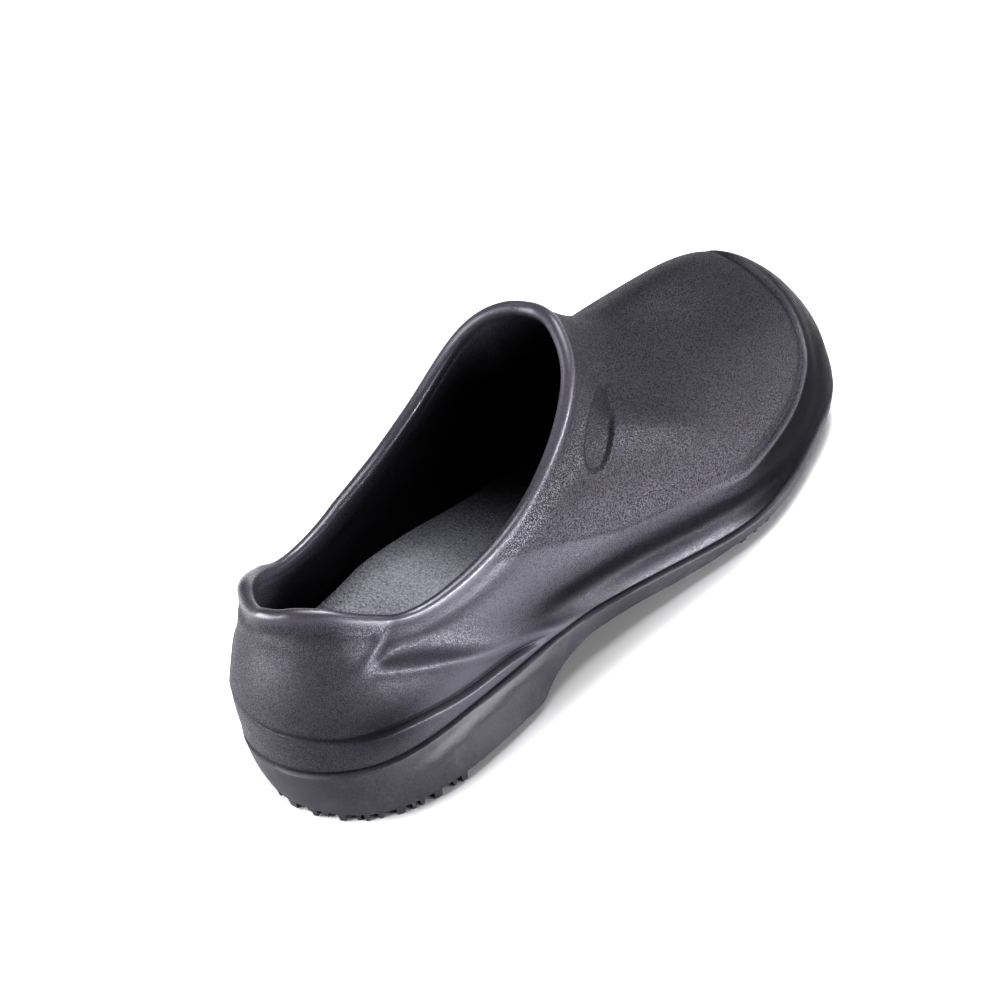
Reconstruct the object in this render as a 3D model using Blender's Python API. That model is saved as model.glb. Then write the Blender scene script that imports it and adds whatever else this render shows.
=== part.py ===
"""Slip-on work clog for a right foot: moulded upper, rubber outsole and loose insole.

The toe points along +X, the wearer's left is +Y and up is +Z. The shoe stands on its lugs at Z = 0
with the middle of its box over the origin. The tables are in millimetres or in percent of the four
sizes that a last is named by, and the meshes are made in metres.
"""

from collections import namedtuple

import bmesh
import bpy
import numpy as np

# Sizes of the last, in millimetres
LENGTH = 288.0
BALL_WIDTH = 104.6
INSTEP_HEIGHT = 111.0
HEEL_LIFT = 24.5

# Thicknesses and gaps, in millimetres
UPPER_WALL = 4.4
LIP_RADIUS = UPPER_WALL / 2.0
PIECE_GAP = 0.3
INSOLE_GAP = 0.5
LUG_DEPTH = 3.2
LUG_ROOT = 1.5
INSOLE_CUP = 2.5

# Mesh steps
STEPS = 5
ROW_STEPS = (2, 2, 2, 3, 3, 4, 4)
INNER_ROWS = (0, 2, 4, 6, 9, 12, 16, 20)
CAP_STEPS = 8
INSOLE_ROWS = 2

METRES = 0.001

# Sections around the last: the sole's edge in percent of length, ball width and heel lift,
# then the collar's crest in percent of length, ball width and instep height.
Station = namedtuple("Station", "name edge_x edge_y edge_z rim_x rim_y rim_z")
STATIONS = (
    Station("heel back", 0.0, 1.0, 100.0, 4.1, 1.0, 77.3),
    Station("heel, outer", 6.2, -28.6, 100.0, 8.6, -17.6, 73.3),
    Station("counter, outer", 18.1, -37.0, 101.0, 15.4, -27.8, 63.5),
    Station("quarter, outer", 28.1, -37.8, 95.5, 28.1, -31.7, 62.8),
    Station("waist, outer", 39.2, -38.1, 82.0, 40.8, -30.8, 73.2),
    Station("joint, outer", 56.0, -44.6, 50.5, 50.2, -24.2, 90.4),
    Station("ball, outer", 69.8, -50.0, 37.5, 53.5, -15.2, 97.2),
    Station("toe, outer", 83.5, -42.5, 46.0, 55.0, -8.0, 99.6),
    Station("toe corner, outer", 95.6, -26.8, 61.0, 55.6, -3.0, 100.0),
    Station("toe tip", 100.0, 3.0, 73.5, 55.8, 1.0, 100.0),
    Station("toe corner, inner", 97.9, 31.0, 65.5, 55.6, 5.0, 100.0),
    Station("toe, inner", 85.8, 46.2, 49.0, 55.0, 10.0, 99.6),
    Station("ball, inner", 70.5, 49.8, 37.5, 53.5, 17.2, 97.2),
    Station("joint, inner", 56.6, 43.1, 50.0, 50.2, 26.0, 90.0),
    Station("waist, inner", 41.3, 36.0, 79.0, 40.8, 32.6, 72.8),
    Station("quarter, inner", 28.1, 35.9, 94.0, 28.1, 33.2, 62.8),
    Station("counter, inner", 18.1, 36.4, 99.5, 15.4, 30.0, 63.8),
    Station("heel, inner", 5.2, 32.6, 100.0, 8.2, 20.2, 73.8),
)

# Wall of each section above the sole's edge, in millimetres inward and up, with two swells of the
# curve from crown to collar. The rows follow STATIONS.
Wall = namedtuple(
    "Wall",
    "flute_in flute_up belly_in belly_up brow_in brow_up crown_in crown_up swell_low swell_high",
)
WALLS = (
    Wall(-0.3, 14.5, -0.3, 21.0, 2.5, 34.0, 7.5, 46.0, 0.5, 0.0),
    Wall(-0.5, 12.0, -1.0, 19.0, 1.0, 32.0, 5.0, 43.0, 0.5, 0.0),
    Wall(-0.5, 8.0, -1.5, 14.0, -0.5, 24.0, 3.5, 33.0, 0.5, 0.0),
    Wall(0.0, 9.0, -1.5, 18.0, -1.0, 26.0, 1.0, 34.0, 0.5, 0.0),
    Wall(1.5, 6.0, -1.0, 20.0, -1.0, 30.0, 1.5, 42.0, 1.0, 0.5),
    Wall(3.5, 10.0, 2.0, 18.0, 1.5, 25.0, 6.5, 48.0, 0.5, -2.0),
    Wall(2.5, 5.0, 2.5, 9.0, 2.0, 12.0, 8.5, 36.0, 0.0, -6.0),
    Wall(2.4, 6.0, 2.8, 11.0, 4.0, 17.0, 13.0, 38.0, 0.5, -8.0),
    Wall(1.8, 7.0, 2.0, 14.0, 5.0, 23.0, 17.0, 42.0, -2.0, -9.5),
    Wall(0.6, 8.0, 0.2, 17.0, 5.4, 28.0, 19.0, 44.5, 0.0, -10.0),
    Wall(0.6, 8.5, 0.6, 16.5, 7.0, 25.0, 18.0, 39.0, -2.5, -9.5),
    Wall(2.0, 6.0, 2.0, 12.0, 4.5, 20.0, 16.5, 34.0, -1.0, -9.0),
    Wall(2.5, 5.0, 2.5, 9.0, 3.0, 12.0, 11.0, 32.0, -2.0, -8.0),
    Wall(3.0, 10.0, 2.0, 18.0, 2.0, 25.0, 7.5, 46.0, -1.0, -3.0),
    Wall(1.5, 6.0, -1.0, 20.0, -1.0, 30.0, 1.5, 42.0, 1.0, 0.5),
    Wall(0.0, 9.0, -1.5, 18.0, -1.5, 26.0, 0.5, 34.0, 0.5, 0.0),
    Wall(-0.5, 8.0, -1.5, 14.0, -0.5, 24.0, 3.0, 33.0, 0.5, 0.0),
    Wall(0.2, 12.0, 1.2, 19.0, 5.5, 32.0, 10.0, 43.0, 0.5, 0.0),
)
LOW_SHARE = 0.35
HIGH_SHARE = 0.7

# How far the sole's wall draws in from its edge to its foot, in millimetres. The rows follow STATIONS.
SOLE_TAPER = (3.4, 0.6, -1.4, -1.2, 1.6, 2.0, 1.6, 1.6, 2.5, 4.0, 3.0, 2.5, 2.0, 2.5, 2.6, 1.0, 1.0, 5.0)
SOLE_SWELL = 0.5
SOLE_CHAMFER = 1.2

# Underside of the sole above the floor: percent of length, then millimetres
Underside = namedtuple("Underside", "along height")
UNDERSIDE = (
    Underside(0.0, 4.2),
    Underside(4.0, LUG_DEPTH),
    Underside(29.5, LUG_DEPTH),
    Underside(32.2, 7.4),
    Underside(35.6, 9.6),
    Underside(40.0, 10.0),
    Underside(47.0, 7.6),
    Underside(54.6, 4.2),
    Underside(59.6, LUG_DEPTH),
    Underside(77.8, LUG_DEPTH),
    Underside(87.0, 5.2),
    Underside(94.0, 8.8),
    Underside(100.0, 13.0),
)

# Rows of lugs: percent of length, lugs across, share of the sole's width, size along and across
LugRow = namedtuple("LugRow", "along count spread size_x size_y")
LUG_ROWS = (
    LugRow(4.6, 2, 0.88, 8.5, 12.0),
    LugRow(8.8, 3, 0.94, 8.5, 13.0),
    LugRow(13.2, 3, 0.97, 8.5, 15.0),
    LugRow(17.6, 3, 0.98, 8.5, 16.0),
    LugRow(22.0, 3, 0.98, 8.5, 16.0),
    LugRow(26.4, 3, 0.98, 8.5, 16.0),
    LugRow(58.6, 3, 0.98, 8.5, 18.0),
    LugRow(63.0, 4, 0.98, 8.5, 16.0),
    LugRow(67.4, 4, 0.98, 8.5, 17.0),
    LugRow(71.8, 4, 0.98, 8.5, 17.0),
    LugRow(76.2, 4, 0.98, 8.5, 16.0),
    LugRow(80.6, 4, 0.98, 8.5, 15.0),
    LugRow(85.0, 4, 0.97, 8.5, 14.0),
    LugRow(89.4, 3, 0.95, 8.5, 15.0),
    LugRow(93.4, 2, 0.88, 7.0, 16.0),
)
LUG_DRAFT = 0.8

FINISHES = {
    "upper": ((0.030, 0.029, 0.033, 1.0), 0.55),
    "outsole": ((0.018, 0.018, 0.020, 1.0), 0.62),
    "insole": ((0.050, 0.050, 0.053, 1.0), 0.70),
}


def clear_scene():
    """Remove every object that the scene starts with."""
    for thing in list(bpy.data.objects):
        bpy.data.objects.remove(thing, do_unlink=True)


def spline(points, steps):
    """Sample one natural cubic spline for each row of points, with centripetal knots.

    points is an array of rows, knots and values, and steps holds the samples of each span.
    """
    span = np.sqrt(np.linalg.norm(np.diff(points, axis=1), axis=2)) + 1e-9
    knots = points.shape[1]
    rate = np.diff(points, axis=1) / span[..., None]
    system = np.zeros((len(points), knots, knots))
    system[:, 0, 0] = 1.0
    system[:, -1, -1] = 1.0
    change = np.zeros_like(points)
    for j in range(1, knots - 1):
        system[:, j, j - 1] = span[:, j - 1]
        system[:, j, j] = 2.0 * (span[:, j - 1] + span[:, j])
        system[:, j, j + 1] = span[:, j]
        change[:, j] = 6.0 * (rate[:, j] - rate[:, j - 1])
    bend = np.linalg.solve(system, change)
    pieces = []
    for j in range(knots - 1):
        t = (np.arange(steps[j]) / steps[j])[None, :, None]
        line = (1.0 - t) * points[:, j, None] + t * points[:, j + 1, None]
        near = ((1.0 - t) ** 3 - (1.0 - t)) * bend[:, j, None]
        far = (t ** 3 - t) * bend[:, j + 1, None]
        pieces.append(line + (near + far) * span[:, j, None, None] ** 2 / 6.0)
    pieces.append(points[:, -1:])
    return np.concatenate(pieces, axis=1)


def loop(rows):
    """Sample the closed curve through a table's rows, STEPS points to a span."""
    rows = np.asarray(rows, dtype=float)
    lap = 4
    wide = np.concatenate([rows[-lap:], rows, rows[:lap + 1]])
    curve = spline(wide[None], [STEPS] * (len(wide) - 1))[0]
    return curve[lap * STEPS:(lap + len(rows)) * STEPS]


def station_x(along):
    """Turn a percent of length, counted from the heel, into X."""
    return (along / 100.0 - 0.5) * LENGTH


def last_point(along, side, height, full_height):
    """Turn percents of length, ball width and a height into millimetres in the shoe's frame."""
    return (station_x(along), side / 100.0 * BALL_WIDTH, height / 100.0 * full_height)


def sole_edge():
    """Return the loop where upper and outsole meet."""
    return loop([last_point(s.edge_x, s.edge_y, s.edge_z, HEEL_LIFT) for s in STATIONS])


def collar_crest():
    """Return the loop along the top of the collar."""
    return loop([last_point(s.rim_x, s.rim_y, s.rim_z, INSTEP_HEIGHT) for s in STATIONS])


def outer_grid():
    """Return the upper's outer surface as columns around the foot and rows from edge to collar."""
    edge = sole_edge()
    crest = collar_crest()
    wall = loop(WALLS)
    across = crest[:, :2] - edge[:, :2]
    reach = np.linalg.norm(across, axis=1)
    way = across / reach[:, None]
    end = np.column_stack([reach - LIP_RADIUS, crest[:, 2] - edge[:, 2] - LIP_RADIUS])

    def place(spot):
        """Put a point that lies inward and up from the edge into the frame."""
        return np.column_stack([edge[:, :2] + way * spot[:, :1], edge[:, 2] + spot[:, 1]])

    crown = wall[:, 6:8]
    chord = end - crown
    normal = np.column_stack([-chord[:, 1], chord[:, 0]]) / np.linalg.norm(chord, axis=1)[:, None]
    low = crown + chord * LOW_SHARE + normal * wall[:, 8:9]
    high = crown + chord * HIGH_SHARE + normal * wall[:, 9:10]
    spots = [wall[:, 0:2] * 0.0, wall[:, 0:2], wall[:, 2:4], wall[:, 4:6], crown, low, high, end]
    return spline(np.stack([place(spot) for spot in spots], axis=1), ROW_STEPS)


def grid_normals(grid):
    """Return the outward unit normals of a surface that closes around the foot."""
    around = np.roll(grid, -1, axis=0) - np.roll(grid, 1, axis=0)
    upward = np.gradient(grid, axis=1)
    normal = np.cross(around, upward)
    return normal / np.linalg.norm(normal, axis=2)[..., None]


def plan_normals(ring):
    """Return the outward unit normals of a closed loop, seen from above."""
    run = np.roll(ring, -1, axis=0) - np.roll(ring, 1, axis=0)
    normal = np.column_stack([run[:, 1], -run[:, 0], np.zeros(len(ring))])
    return normal / np.linalg.norm(normal, axis=1)[:, None]


def ring_faces(columns, rows, closed):
    """Return the quads between neighbouring rows of a grid that closes around its columns."""
    faces = []
    for i in range(columns):
        k = (i + 1) % columns
        for j in range(rows if closed else rows - 1):
            n = (j + 1) % rows
            faces.append((i * rows + j, k * rows + j, k * rows + n, i * rows + n))
    return faces


def new_piece(name, points, faces, home):
    """Make a closed mesh object from points in millimetres, with its faces turned outward."""
    mesh = bpy.data.meshes.new(name)
    mesh.from_pydata((np.asarray(points) * METRES).tolist(), [], faces)
    shape = bmesh.new()
    shape.from_mesh(mesh)
    bmesh.ops.recalc_face_normals(shape, faces=shape.faces)
    shape.to_mesh(mesh)
    shape.free()
    piece = bpy.data.objects.new(name, mesh)
    home.objects.link(piece)
    return piece


def dress(piece):
    """Give a piece its own plain material."""
    colour, roughness = FINISHES[piece.name]
    finish = bpy.data.materials.new(piece.name)
    finish.use_nodes = True
    shader = finish.node_tree.nodes["Principled BSDF"]
    shader.inputs["Base Color"].default_value = colour
    shader.inputs["Roughness"].default_value = roughness
    finish.diffuse_color = colour
    piece.data.materials.clear()
    piece.data.materials.append(finish)


def inner_grid(outer):
    """Return the upper's inner surface at INNER_ROWS, one wall inside the outer one."""
    inner = outer - grid_normals(outer) * UPPER_WALL
    foot = outer[:, 0] - plan_normals(outer[:, 0]) * UPPER_WALL
    inner[:, 0] = foot
    inner[:, 1] = 0.5 * (inner[:, 0] + inner[:, 2])
    return inner[:, INNER_ROWS]


def build_upper(outer, home):
    """Make the hollow upper: outer skin, rounded collar lip and inner skin in one closed shell."""
    normal = grid_normals(outer)[:, -1]
    rise = outer[:, -1] - outer[:, -2]
    rise -= normal * np.sum(rise * normal, axis=1)[:, None]
    rise /= np.linalg.norm(rise, axis=1)[:, None]
    centre = outer[:, -1] - normal * LIP_RADIUS
    lip = []
    for turn in np.radians((45.0, 90.0, 135.0)):
        lip.append(centre + (normal * np.cos(turn) + rise * np.sin(turn)) * LIP_RADIUS)
    skin = outer.copy()
    lining = inner_grid(outer)
    skin[:, 0, 2] += PIECE_GAP / 2.0
    lining[:, 0, 2] += PIECE_GAP / 2.0
    shell = np.concatenate([skin, np.stack(lip, axis=1), lining[:, ::-1]], axis=1)
    columns, rows = shell.shape[:2]
    return new_piece("upper", shell.reshape(-1, 3), ring_faces(columns, rows, True), home)


def cap(ring, first, height, upward):
    """Close a loop with cross rows from its outer to its inner side.

    Returns the new points and the faces, with the loop's own points numbered from first on and the
    new ones from the end of the loop's block given by upward. height gives a point's Z from the
    point and its share of the way across.
    """
    columns = len(ring)
    half = columns // 2
    share = np.arange(1, CAP_STEPS)[:, None] / CAP_STEPS
    points = []
    lines = [[first]]
    for i in range(1, half):
        start = upward + len(points)
        row = ring[i] + (ring[columns - i] - ring[i]) * share
        row[:, 2] = height(row, share[:, 0])
        points.extend(row)
        lines.append([first + i, *range(start, start + CAP_STEPS - 1), first + columns - i])
    lines.append([first + half])
    faces = []
    for a, b in zip(lines[:-1], lines[1:]):
        if len(a) == 1:
            faces.extend((a[0], b[j], b[j + 1]) for j in range(CAP_STEPS))
        elif len(b) == 1:
            faces.extend((a[j], b[0], a[j + 1]) for j in range(CAP_STEPS))
        else:
            faces.extend((a[j], b[j], b[j + 1], a[j + 1]) for j in range(CAP_STEPS))
    return points, faces


def pillow(name, rings, bottom_height, top_height, home):
    """Make a closed solid from loops stacked from bottom to top and a cap on each end."""
    columns = len(rings[0])
    points = [point for ring in rings for point in ring]
    faces = []
    for level in range(len(rings) - 1):
        for i in range(columns):
            k = (i + 1) % columns
            low = level * columns
            high = low + columns
            faces.append((low + i, low + k, high + k, high + i))
    for ring, first, height in (
        (rings[0], 0, bottom_height),
        (rings[-1], (len(rings) - 1) * columns, top_height),
    ):
        more, closing = cap(ring, first, height, len(points))
        points.extend(more)
        faces.extend(closing)
    return new_piece(name, points, faces, home)


def underside(x):
    """Return the height of the sole's underside above the floor at X."""
    along = [station_x(row.along) for row in UNDERSIDE]
    return np.interp(x, along, [row.height for row in UNDERSIDE])


def sole_foot(edge):
    """Return the loop at the foot of the sole's wall."""
    taper = loop([(value, 0.0) for value in SOLE_TAPER])[:, :1]
    foot = edge - plan_normals(edge) * taper
    foot[:, 2] = underside(foot[:, 0])
    return foot


def edge_height(edge):
    """Return a function that gives the height of the sole's edge at X, the same right across."""
    half = len(edge) // 2
    outer = edge[:half + 1]
    inner = np.concatenate([edge[:1], edge[:half - 1:-1]])
    along = np.linspace(edge[:, 0].min(), edge[:, 0].max(), 60)
    level = 0.5 * (
        np.interp(along, outer[:, 0], outer[:, 2]) + np.interp(along, inner[:, 0], inner[:, 2])
    )
    return lambda x: np.interp(x, along, level)


def lug_points(x, y, row):
    """Return the eight corners of a tapered lug, lower four first."""
    corners = np.array(((-0.5, -0.5), (0.5, -0.5), (0.5, 0.5), (-0.5, 0.5)))
    size = np.array((row.size_x, row.size_y))
    middle = np.array((x, y))
    low = middle + corners * (size - 2.0 * LUG_DRAFT)
    high = middle + corners * size
    low_z = underside(low[:, 0]) - LUG_DEPTH
    high_z = underside(high[:, 0]) + LUG_ROOT
    return np.concatenate([np.column_stack([low, low_z]), np.column_stack([high, high_z])])


def build_lugs(foot, home):
    """Make all lugs as one cutter object, row by row across the sole's foot."""
    half = len(foot) // 2
    outer = foot[:half + 1]
    inner = np.concatenate([foot[:1], foot[:half - 1:-1]])
    box = ((3, 2, 1, 0), (4, 5, 6, 7), (0, 1, 5, 4), (1, 2, 6, 5), (2, 3, 7, 6), (3, 0, 4, 7))
    points = []
    faces = []
    for row in LUG_ROWS:
        x = station_x(row.along)
        right = np.interp(x, outer[:, 0], outer[:, 1])
        left = np.interp(x, inner[:, 0], inner[:, 1])
        middle = 0.5 * (left + right)
        room = (left - right) * row.spread - row.size_y
        for share in np.linspace(-0.5, 0.5, row.count):
            first = len(points)
            points.extend(lug_points(x, middle + room * share, row))
            faces.extend(tuple(first + k for k in face) for face in box)
    return new_piece("lugs", points, faces, home)


def build_outsole(edge, home, tools):
    """Make the sole's body from its wall loops and join the lugs to it."""
    foot = sole_foot(edge)
    top = edge.copy()
    top[:, 2] -= PIECE_GAP / 2.0
    bevel = foot + (top - foot) * 0.12
    bevel[:, 2] = foot[:, 2] + SOLE_CHAMFER
    bevel += plan_normals(edge) * 0.6
    middle = 0.5 * (bevel + top) + plan_normals(edge) * SOLE_SWELL
    level = edge_height(top)
    sole = pillow(
        "outsole",
        [foot, bevel, middle, top],
        lambda row, share: underside(row[:, 0]),
        lambda row, share: level(row[:, 0]),
        home,
    )
    lugs = build_lugs(foot, tools)
    join = sole.modifiers.new("lugs", "BOOLEAN")
    join.operation = "UNION"
    join.solver = "EXACT"
    join.object = lugs
    lugs.hide_render = True
    lugs.display_type = "WIRE"
    return sole


def build_insole(edge, outer, home):
    """Make the footbed: its rim follows the upper's lining and its top is cupped."""
    lining = inner_grid(outer)[:, :INSOLE_ROWS]
    lining[:, 0, 2] += PIECE_GAP / 2.0
    inset = plan_normals(edge) * INSOLE_GAP
    rings = [lining[:, j] - inset for j in range(INSOLE_ROWS)]
    level = edge_height(edge)

    def bed(row, share):
        """Return the top's height: straight across from rim to rim, less the cup."""
        return row[:, 2] - INSOLE_CUP * np.sin(np.pi * share)

    return pillow(
        "insole",
        rings,
        lambda row, share: level(row[:, 0]) + PIECE_GAP / 2.0,
        bed,
        home,
    )


def main():
    """Build the three pieces of the shoe."""
    clear_scene()
    home = bpy.data.collections.new("hospital shoe")
    tools = bpy.data.collections.new("cutters")
    bpy.context.scene.collection.children.link(home)
    bpy.context.scene.collection.children.link(tools)
    edge = sole_edge()
    outer = outer_grid()
    pieces = [
        build_upper(outer, home),
        build_outsole(edge, home, tools),
        build_insole(edge, outer, home),
    ]
    for piece in pieces:
        dress(piece)


main()
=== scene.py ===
"""Looks of a hospital shoe: a moulded slip-on clog with a lugged outsole and a loose footbed.

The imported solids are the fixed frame. Each of them is replaced by a finer surface that follows the
same last and adds what the mould cuts into it: toe bumper, flute, heel band, side panel, collar bead,
leaf-shaped recess and tread. The toe points along +X, the wearer's left is +Y and up is +Z. Sizes are
millimetres unless a name says otherwise, and the meshes are made in metres.
"""

import logging
import math
from abc import ABC, abstractmethod
from collections.abc import Callable
from dataclasses import dataclass
from enum import Enum
from typing import Any, Protocol

import bpy
import numpy as np
from mathutils import Matrix, Vector


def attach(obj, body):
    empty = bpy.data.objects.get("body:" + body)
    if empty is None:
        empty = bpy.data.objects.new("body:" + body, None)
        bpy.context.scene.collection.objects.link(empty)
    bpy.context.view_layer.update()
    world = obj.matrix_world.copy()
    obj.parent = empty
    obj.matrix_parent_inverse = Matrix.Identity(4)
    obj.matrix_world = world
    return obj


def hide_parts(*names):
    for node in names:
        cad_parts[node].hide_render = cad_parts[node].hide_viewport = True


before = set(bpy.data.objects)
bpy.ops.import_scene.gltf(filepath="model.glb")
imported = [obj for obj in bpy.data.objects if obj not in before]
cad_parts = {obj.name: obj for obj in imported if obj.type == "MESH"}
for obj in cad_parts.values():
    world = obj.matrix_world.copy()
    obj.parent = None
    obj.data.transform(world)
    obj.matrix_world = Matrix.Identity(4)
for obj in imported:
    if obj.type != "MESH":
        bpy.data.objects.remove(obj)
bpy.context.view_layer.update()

Array = np.ndarray
Row = tuple[float, ...]
Span = tuple[float, float]
Window = tuple[Span, Span]
Hump = tuple[float, float, float]
Mix = tuple[tuple[str, float], ...]
Table = tuple[Row, ...]
Colour = tuple[float, float, float]

METRES = 0.001
BODY = "root"
LOG = logging.getLogger("hospital_shoe")
# A step that takes one millimetre, and the heights over which the wall's ways leave the level
STEP: Span = (-0.5, 0.5)
LEVEL_RUN: Span = (0.0, 8.0)


class Node(Enum):
    """The solids that the finer pieces stand for."""

    UPPER = "upper"
    OUTSOLE = "outsole"
    INSOLE = "insole"


class Side(Enum):
    """A side of the shoe, by the sign of Y."""

    OUTER = -1.0
    INNER = 1.0


def smooth(span: Span, value: Array) -> Array:
    """Blend from 0 to 1 by 3 t squared less 2 t cubed of the clamped share t.

    Args:
        span: where the blend starts and where it ends.
        value: what is blended over.

    Returns:
        The blend, the shape of value.
    """
    share = np.clip((value - span[0]) / (span[1] - span[0]), 0.0, 1.0)
    return share * share * (3.0 - 2.0 * share)


def fade(span: Span, value: Array) -> Array:
    """Blend from 1 at the span's start to 0 at its end."""
    return 1.0 - smooth(span, value)


def bell(value: Array, middle: float = 0.0, width: float = 1.0) -> Array:
    """Return the bell curve: e to minus the square of the distance from middle over width."""
    return np.exp(-((value - middle) / width) ** 2)


def hump(shape: Hump, value: Array) -> Array:
    """Return a bell curve of the height, the middle and the width that shape gives."""
    return shape[0] * bell(value, *shape[1:])


def window(spans: Window, value: Array) -> Array:
    """Blend from 0 to 1 over the first span and back to 0 over the second."""
    return smooth(spans[0], value) * fade(spans[1], value)


def mix(zones: dict[str, Array], weights: Mix) -> Array:
    """Return the sum of the named zones, each times its weight."""
    return sum(weight * zones[name] for name, weight in weights)


def wave(shape: Span, number: Array) -> Array:
    """Return a sine wave of the height and the pace that shape gives."""
    return shape[0] * np.sin(shape[1] * number)


def round_over(depth: Array, radius: float) -> Array:
    """Return the square of the share of radius that is left: 1 at depth 0, and 0 from radius on."""
    return (1.0 - np.minimum(depth / radius, 1.0)) ** 2


def unit(rows: Array) -> Array:
    """Return vectors of length one, along the last axis."""
    return rows / np.linalg.norm(rows, axis=-1, keepdims=True)


def line_at(line: Table, x: Array) -> Array:
    """Read the height of a line at X, straight between its points of X and height."""
    rows = np.asarray(line, dtype=float)
    return np.interp(x, rows[:, 0], rows[:, 1])


def soft_least(first: Array, second: Array, radius: float) -> Array:
    """Return the lesser of two fields, with the corner where they cross rounded over.

    The formula is minus radius times the logarithm of the sum of e to minus each field over radius.

    Args:
        first: one signed distance.
        second: the other signed distance.
        radius: how wide the rounding is.

    Returns:
        The joined signed distance.
    """
    return -radius * np.logaddexp(-first / radius, -second / radius)


class Curve:
    """Natural cubic splines with centripetal spans, one curve for each row of points.

    At share t of the span between two knots a curve is the straight line between them, plus
    ((1 - t) cubed - (1 - t)) and (t cubed - t) times the bends at the two knots, times a sixth of the
    span squared. The bends solve the usual tridiagonal system.
    """

    def __init__(self, points: Array) -> None:
        """Work out the bends at the knots.

        Args:
            points: curves by knots by values.
        """
        self.points = np.asarray(points, dtype=float)
        curves, knots = self.points.shape[:2]
        step = np.diff(self.points, axis=1)
        self.span = np.sqrt(np.linalg.norm(step, axis=2)) + 1e-9
        rate = step / self.span[..., None]
        inner = np.arange(1, knots - 1)
        system = np.zeros((curves, knots, knots))
        system[:, 0, 0] = 1.0
        system[:, -1, -1] = 1.0
        system[:, inner, inner - 1] = self.span[:, :-1]
        system[:, inner, inner] = 2.0 * (self.span[:, :-1] + self.span[:, 1:])
        system[:, inner, inner + 1] = self.span[:, 1:]
        change = np.zeros_like(self.points)
        change[:, 1:-1] = 6.0 * np.diff(rate, axis=1)
        self.bend = np.linalg.solve(system, change)

    def at(self, level: Array) -> Array:
        """Read the curves at knot numbers with fractions.

        Args:
            level: curves by samples.

        Returns:
            Curves by samples by values.
        """
        knot = np.clip(np.floor(level).astype(int), 0, self.points.shape[1] - 2)
        share = (level - knot)[..., None]
        rest = 1.0 - share
        curve = np.arange(len(self.points))[:, None]
        line = rest * self.points[curve, knot] + share * self.points[curve, knot + 1]
        near = (rest ** 3 - rest) * self.bend[curve, knot]
        far = (share ** 3 - share) * self.bend[curve, knot + 1]
        return line + (near + far) * self.span[curve, knot][..., None] ** 2 / 6.0


def closed_curve(rows: Any, stations: Array) -> Array:
    """Read the closed curve through a table's rows.

    Args:
        rows: one row for each station of the last.
        stations: station numbers with fractions.

    Returns:
        One row of values for each of stations.
    """
    lap = 4
    rows = np.asarray(rows, dtype=float)
    wide = np.concatenate([rows[-lap:], rows, rows[:lap + 1]])
    return Curve(wide[None]).at(stations[None] + lap)[0]


def grid_normals(grid: Array) -> Array:
    """Return the outward unit normals of a surface that closes around its columns."""
    around = np.roll(grid, -1, axis=0) - np.roll(grid, 1, axis=0)
    return unit(np.cross(around, np.gradient(grid, axis=1)))


def plan_normals(ring: Array) -> Array:
    """Return the outward unit normals of a closed loop, seen from above."""
    run = np.roll(ring, -1, axis=0) - np.roll(ring, 1, axis=0)
    return unit(np.stack([run[:, 1], -run[:, 0], np.zeros(len(ring))], axis=1))


def wall_ways(points: Array, normals: Array, up: Array) -> Array:
    """Return the ways through a wall: its normals, turning level near the sole.

    Args:
        points: columns by rows of the outer surface.
        normals: its normals.
        up: heights above the sole's edge.

    Returns:
        Unit vectors that point outward.
    """
    flat = plan_normals(points[:, 0])[:, None]
    share = smooth(LEVEL_RUN, up)[..., None]
    return unit(flat * (1.0 - share) + normals * share)


def spread_stations(spans: tuple[int, ...]) -> Array:
    """Return station numbers with fractions, as many evenly in each span as spans says."""
    return np.concatenate([k + np.arange(count) / count for k, count in enumerate(spans)])


def tube_quads(columns: int, rows: int, closed: bool) -> Array:
    """Return the quads of a grid whose columns close, and whose rows close too where asked.

    Args:
        columns: points around.
        rows: points from the first row to the last.
        closed: whether the last row joins the first.

    Returns:
        Quads as rows of four point numbers, facing outward when rows run upward.
    """
    i, j = np.meshgrid(np.arange(columns), np.arange(rows if closed else rows - 1), indexing="ij")
    k = (i + 1) % columns
    n = (j + 1) % rows
    corners = (i * rows + j, k * rows + j, k * rows + n, i * rows + n)
    return np.stack(corners, axis=-1).reshape(-1, 4)


def new_piece(name: str, points: Array, faces: list[Any]) -> bpy.types.Object:
    """Make a smooth mesh object at the origin from points in millimetres.

    Args:
        name: the piece's name.
        points: rows of X, Y and Z.
        faces: point numbers of each face.

    Returns:
        The new object, linked to the scene.
    """
    mesh = bpy.data.meshes.new(name)
    mesh.from_pydata((points * METRES).tolist(), [], faces)
    mesh.shade_smooth()
    mesh.update()
    piece = bpy.data.objects.new(name, mesh)
    bpy.context.scene.collection.objects.link(piece)
    return piece


def paint(piece: bpy.types.Object, name: str, values: Array) -> None:
    """Store one number for each point of a piece as an attribute.

    Args:
        piece: the piece.
        name: the attribute's name.
        values: as many numbers as there are points.
    """
    layer = piece.data.attributes.new(name, "FLOAT", "POINT")
    layer.data.foreach_set("value", np.ascontiguousarray(values, dtype=np.float32).ravel())


def operator(operation: str, reflected: bool = False) -> Callable[["Sock", Any], "Sock"]:
    """Make the method of one operator.

    Args:
        operation: the Math node's operation.
        reflected: whether the other value stands on the left.

    Returns:
        A method that adds the node and returns its result.
    """

    def method(sock: "Sock", other: Any) -> "Sock":
        """Return the operation's result."""
        sides = {0: other, 1: sock} if reflected else {0: sock, 1: other}
        return sock.desk.add("ShaderNodeMath", {"operation": operation}, sides)

    return method


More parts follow.
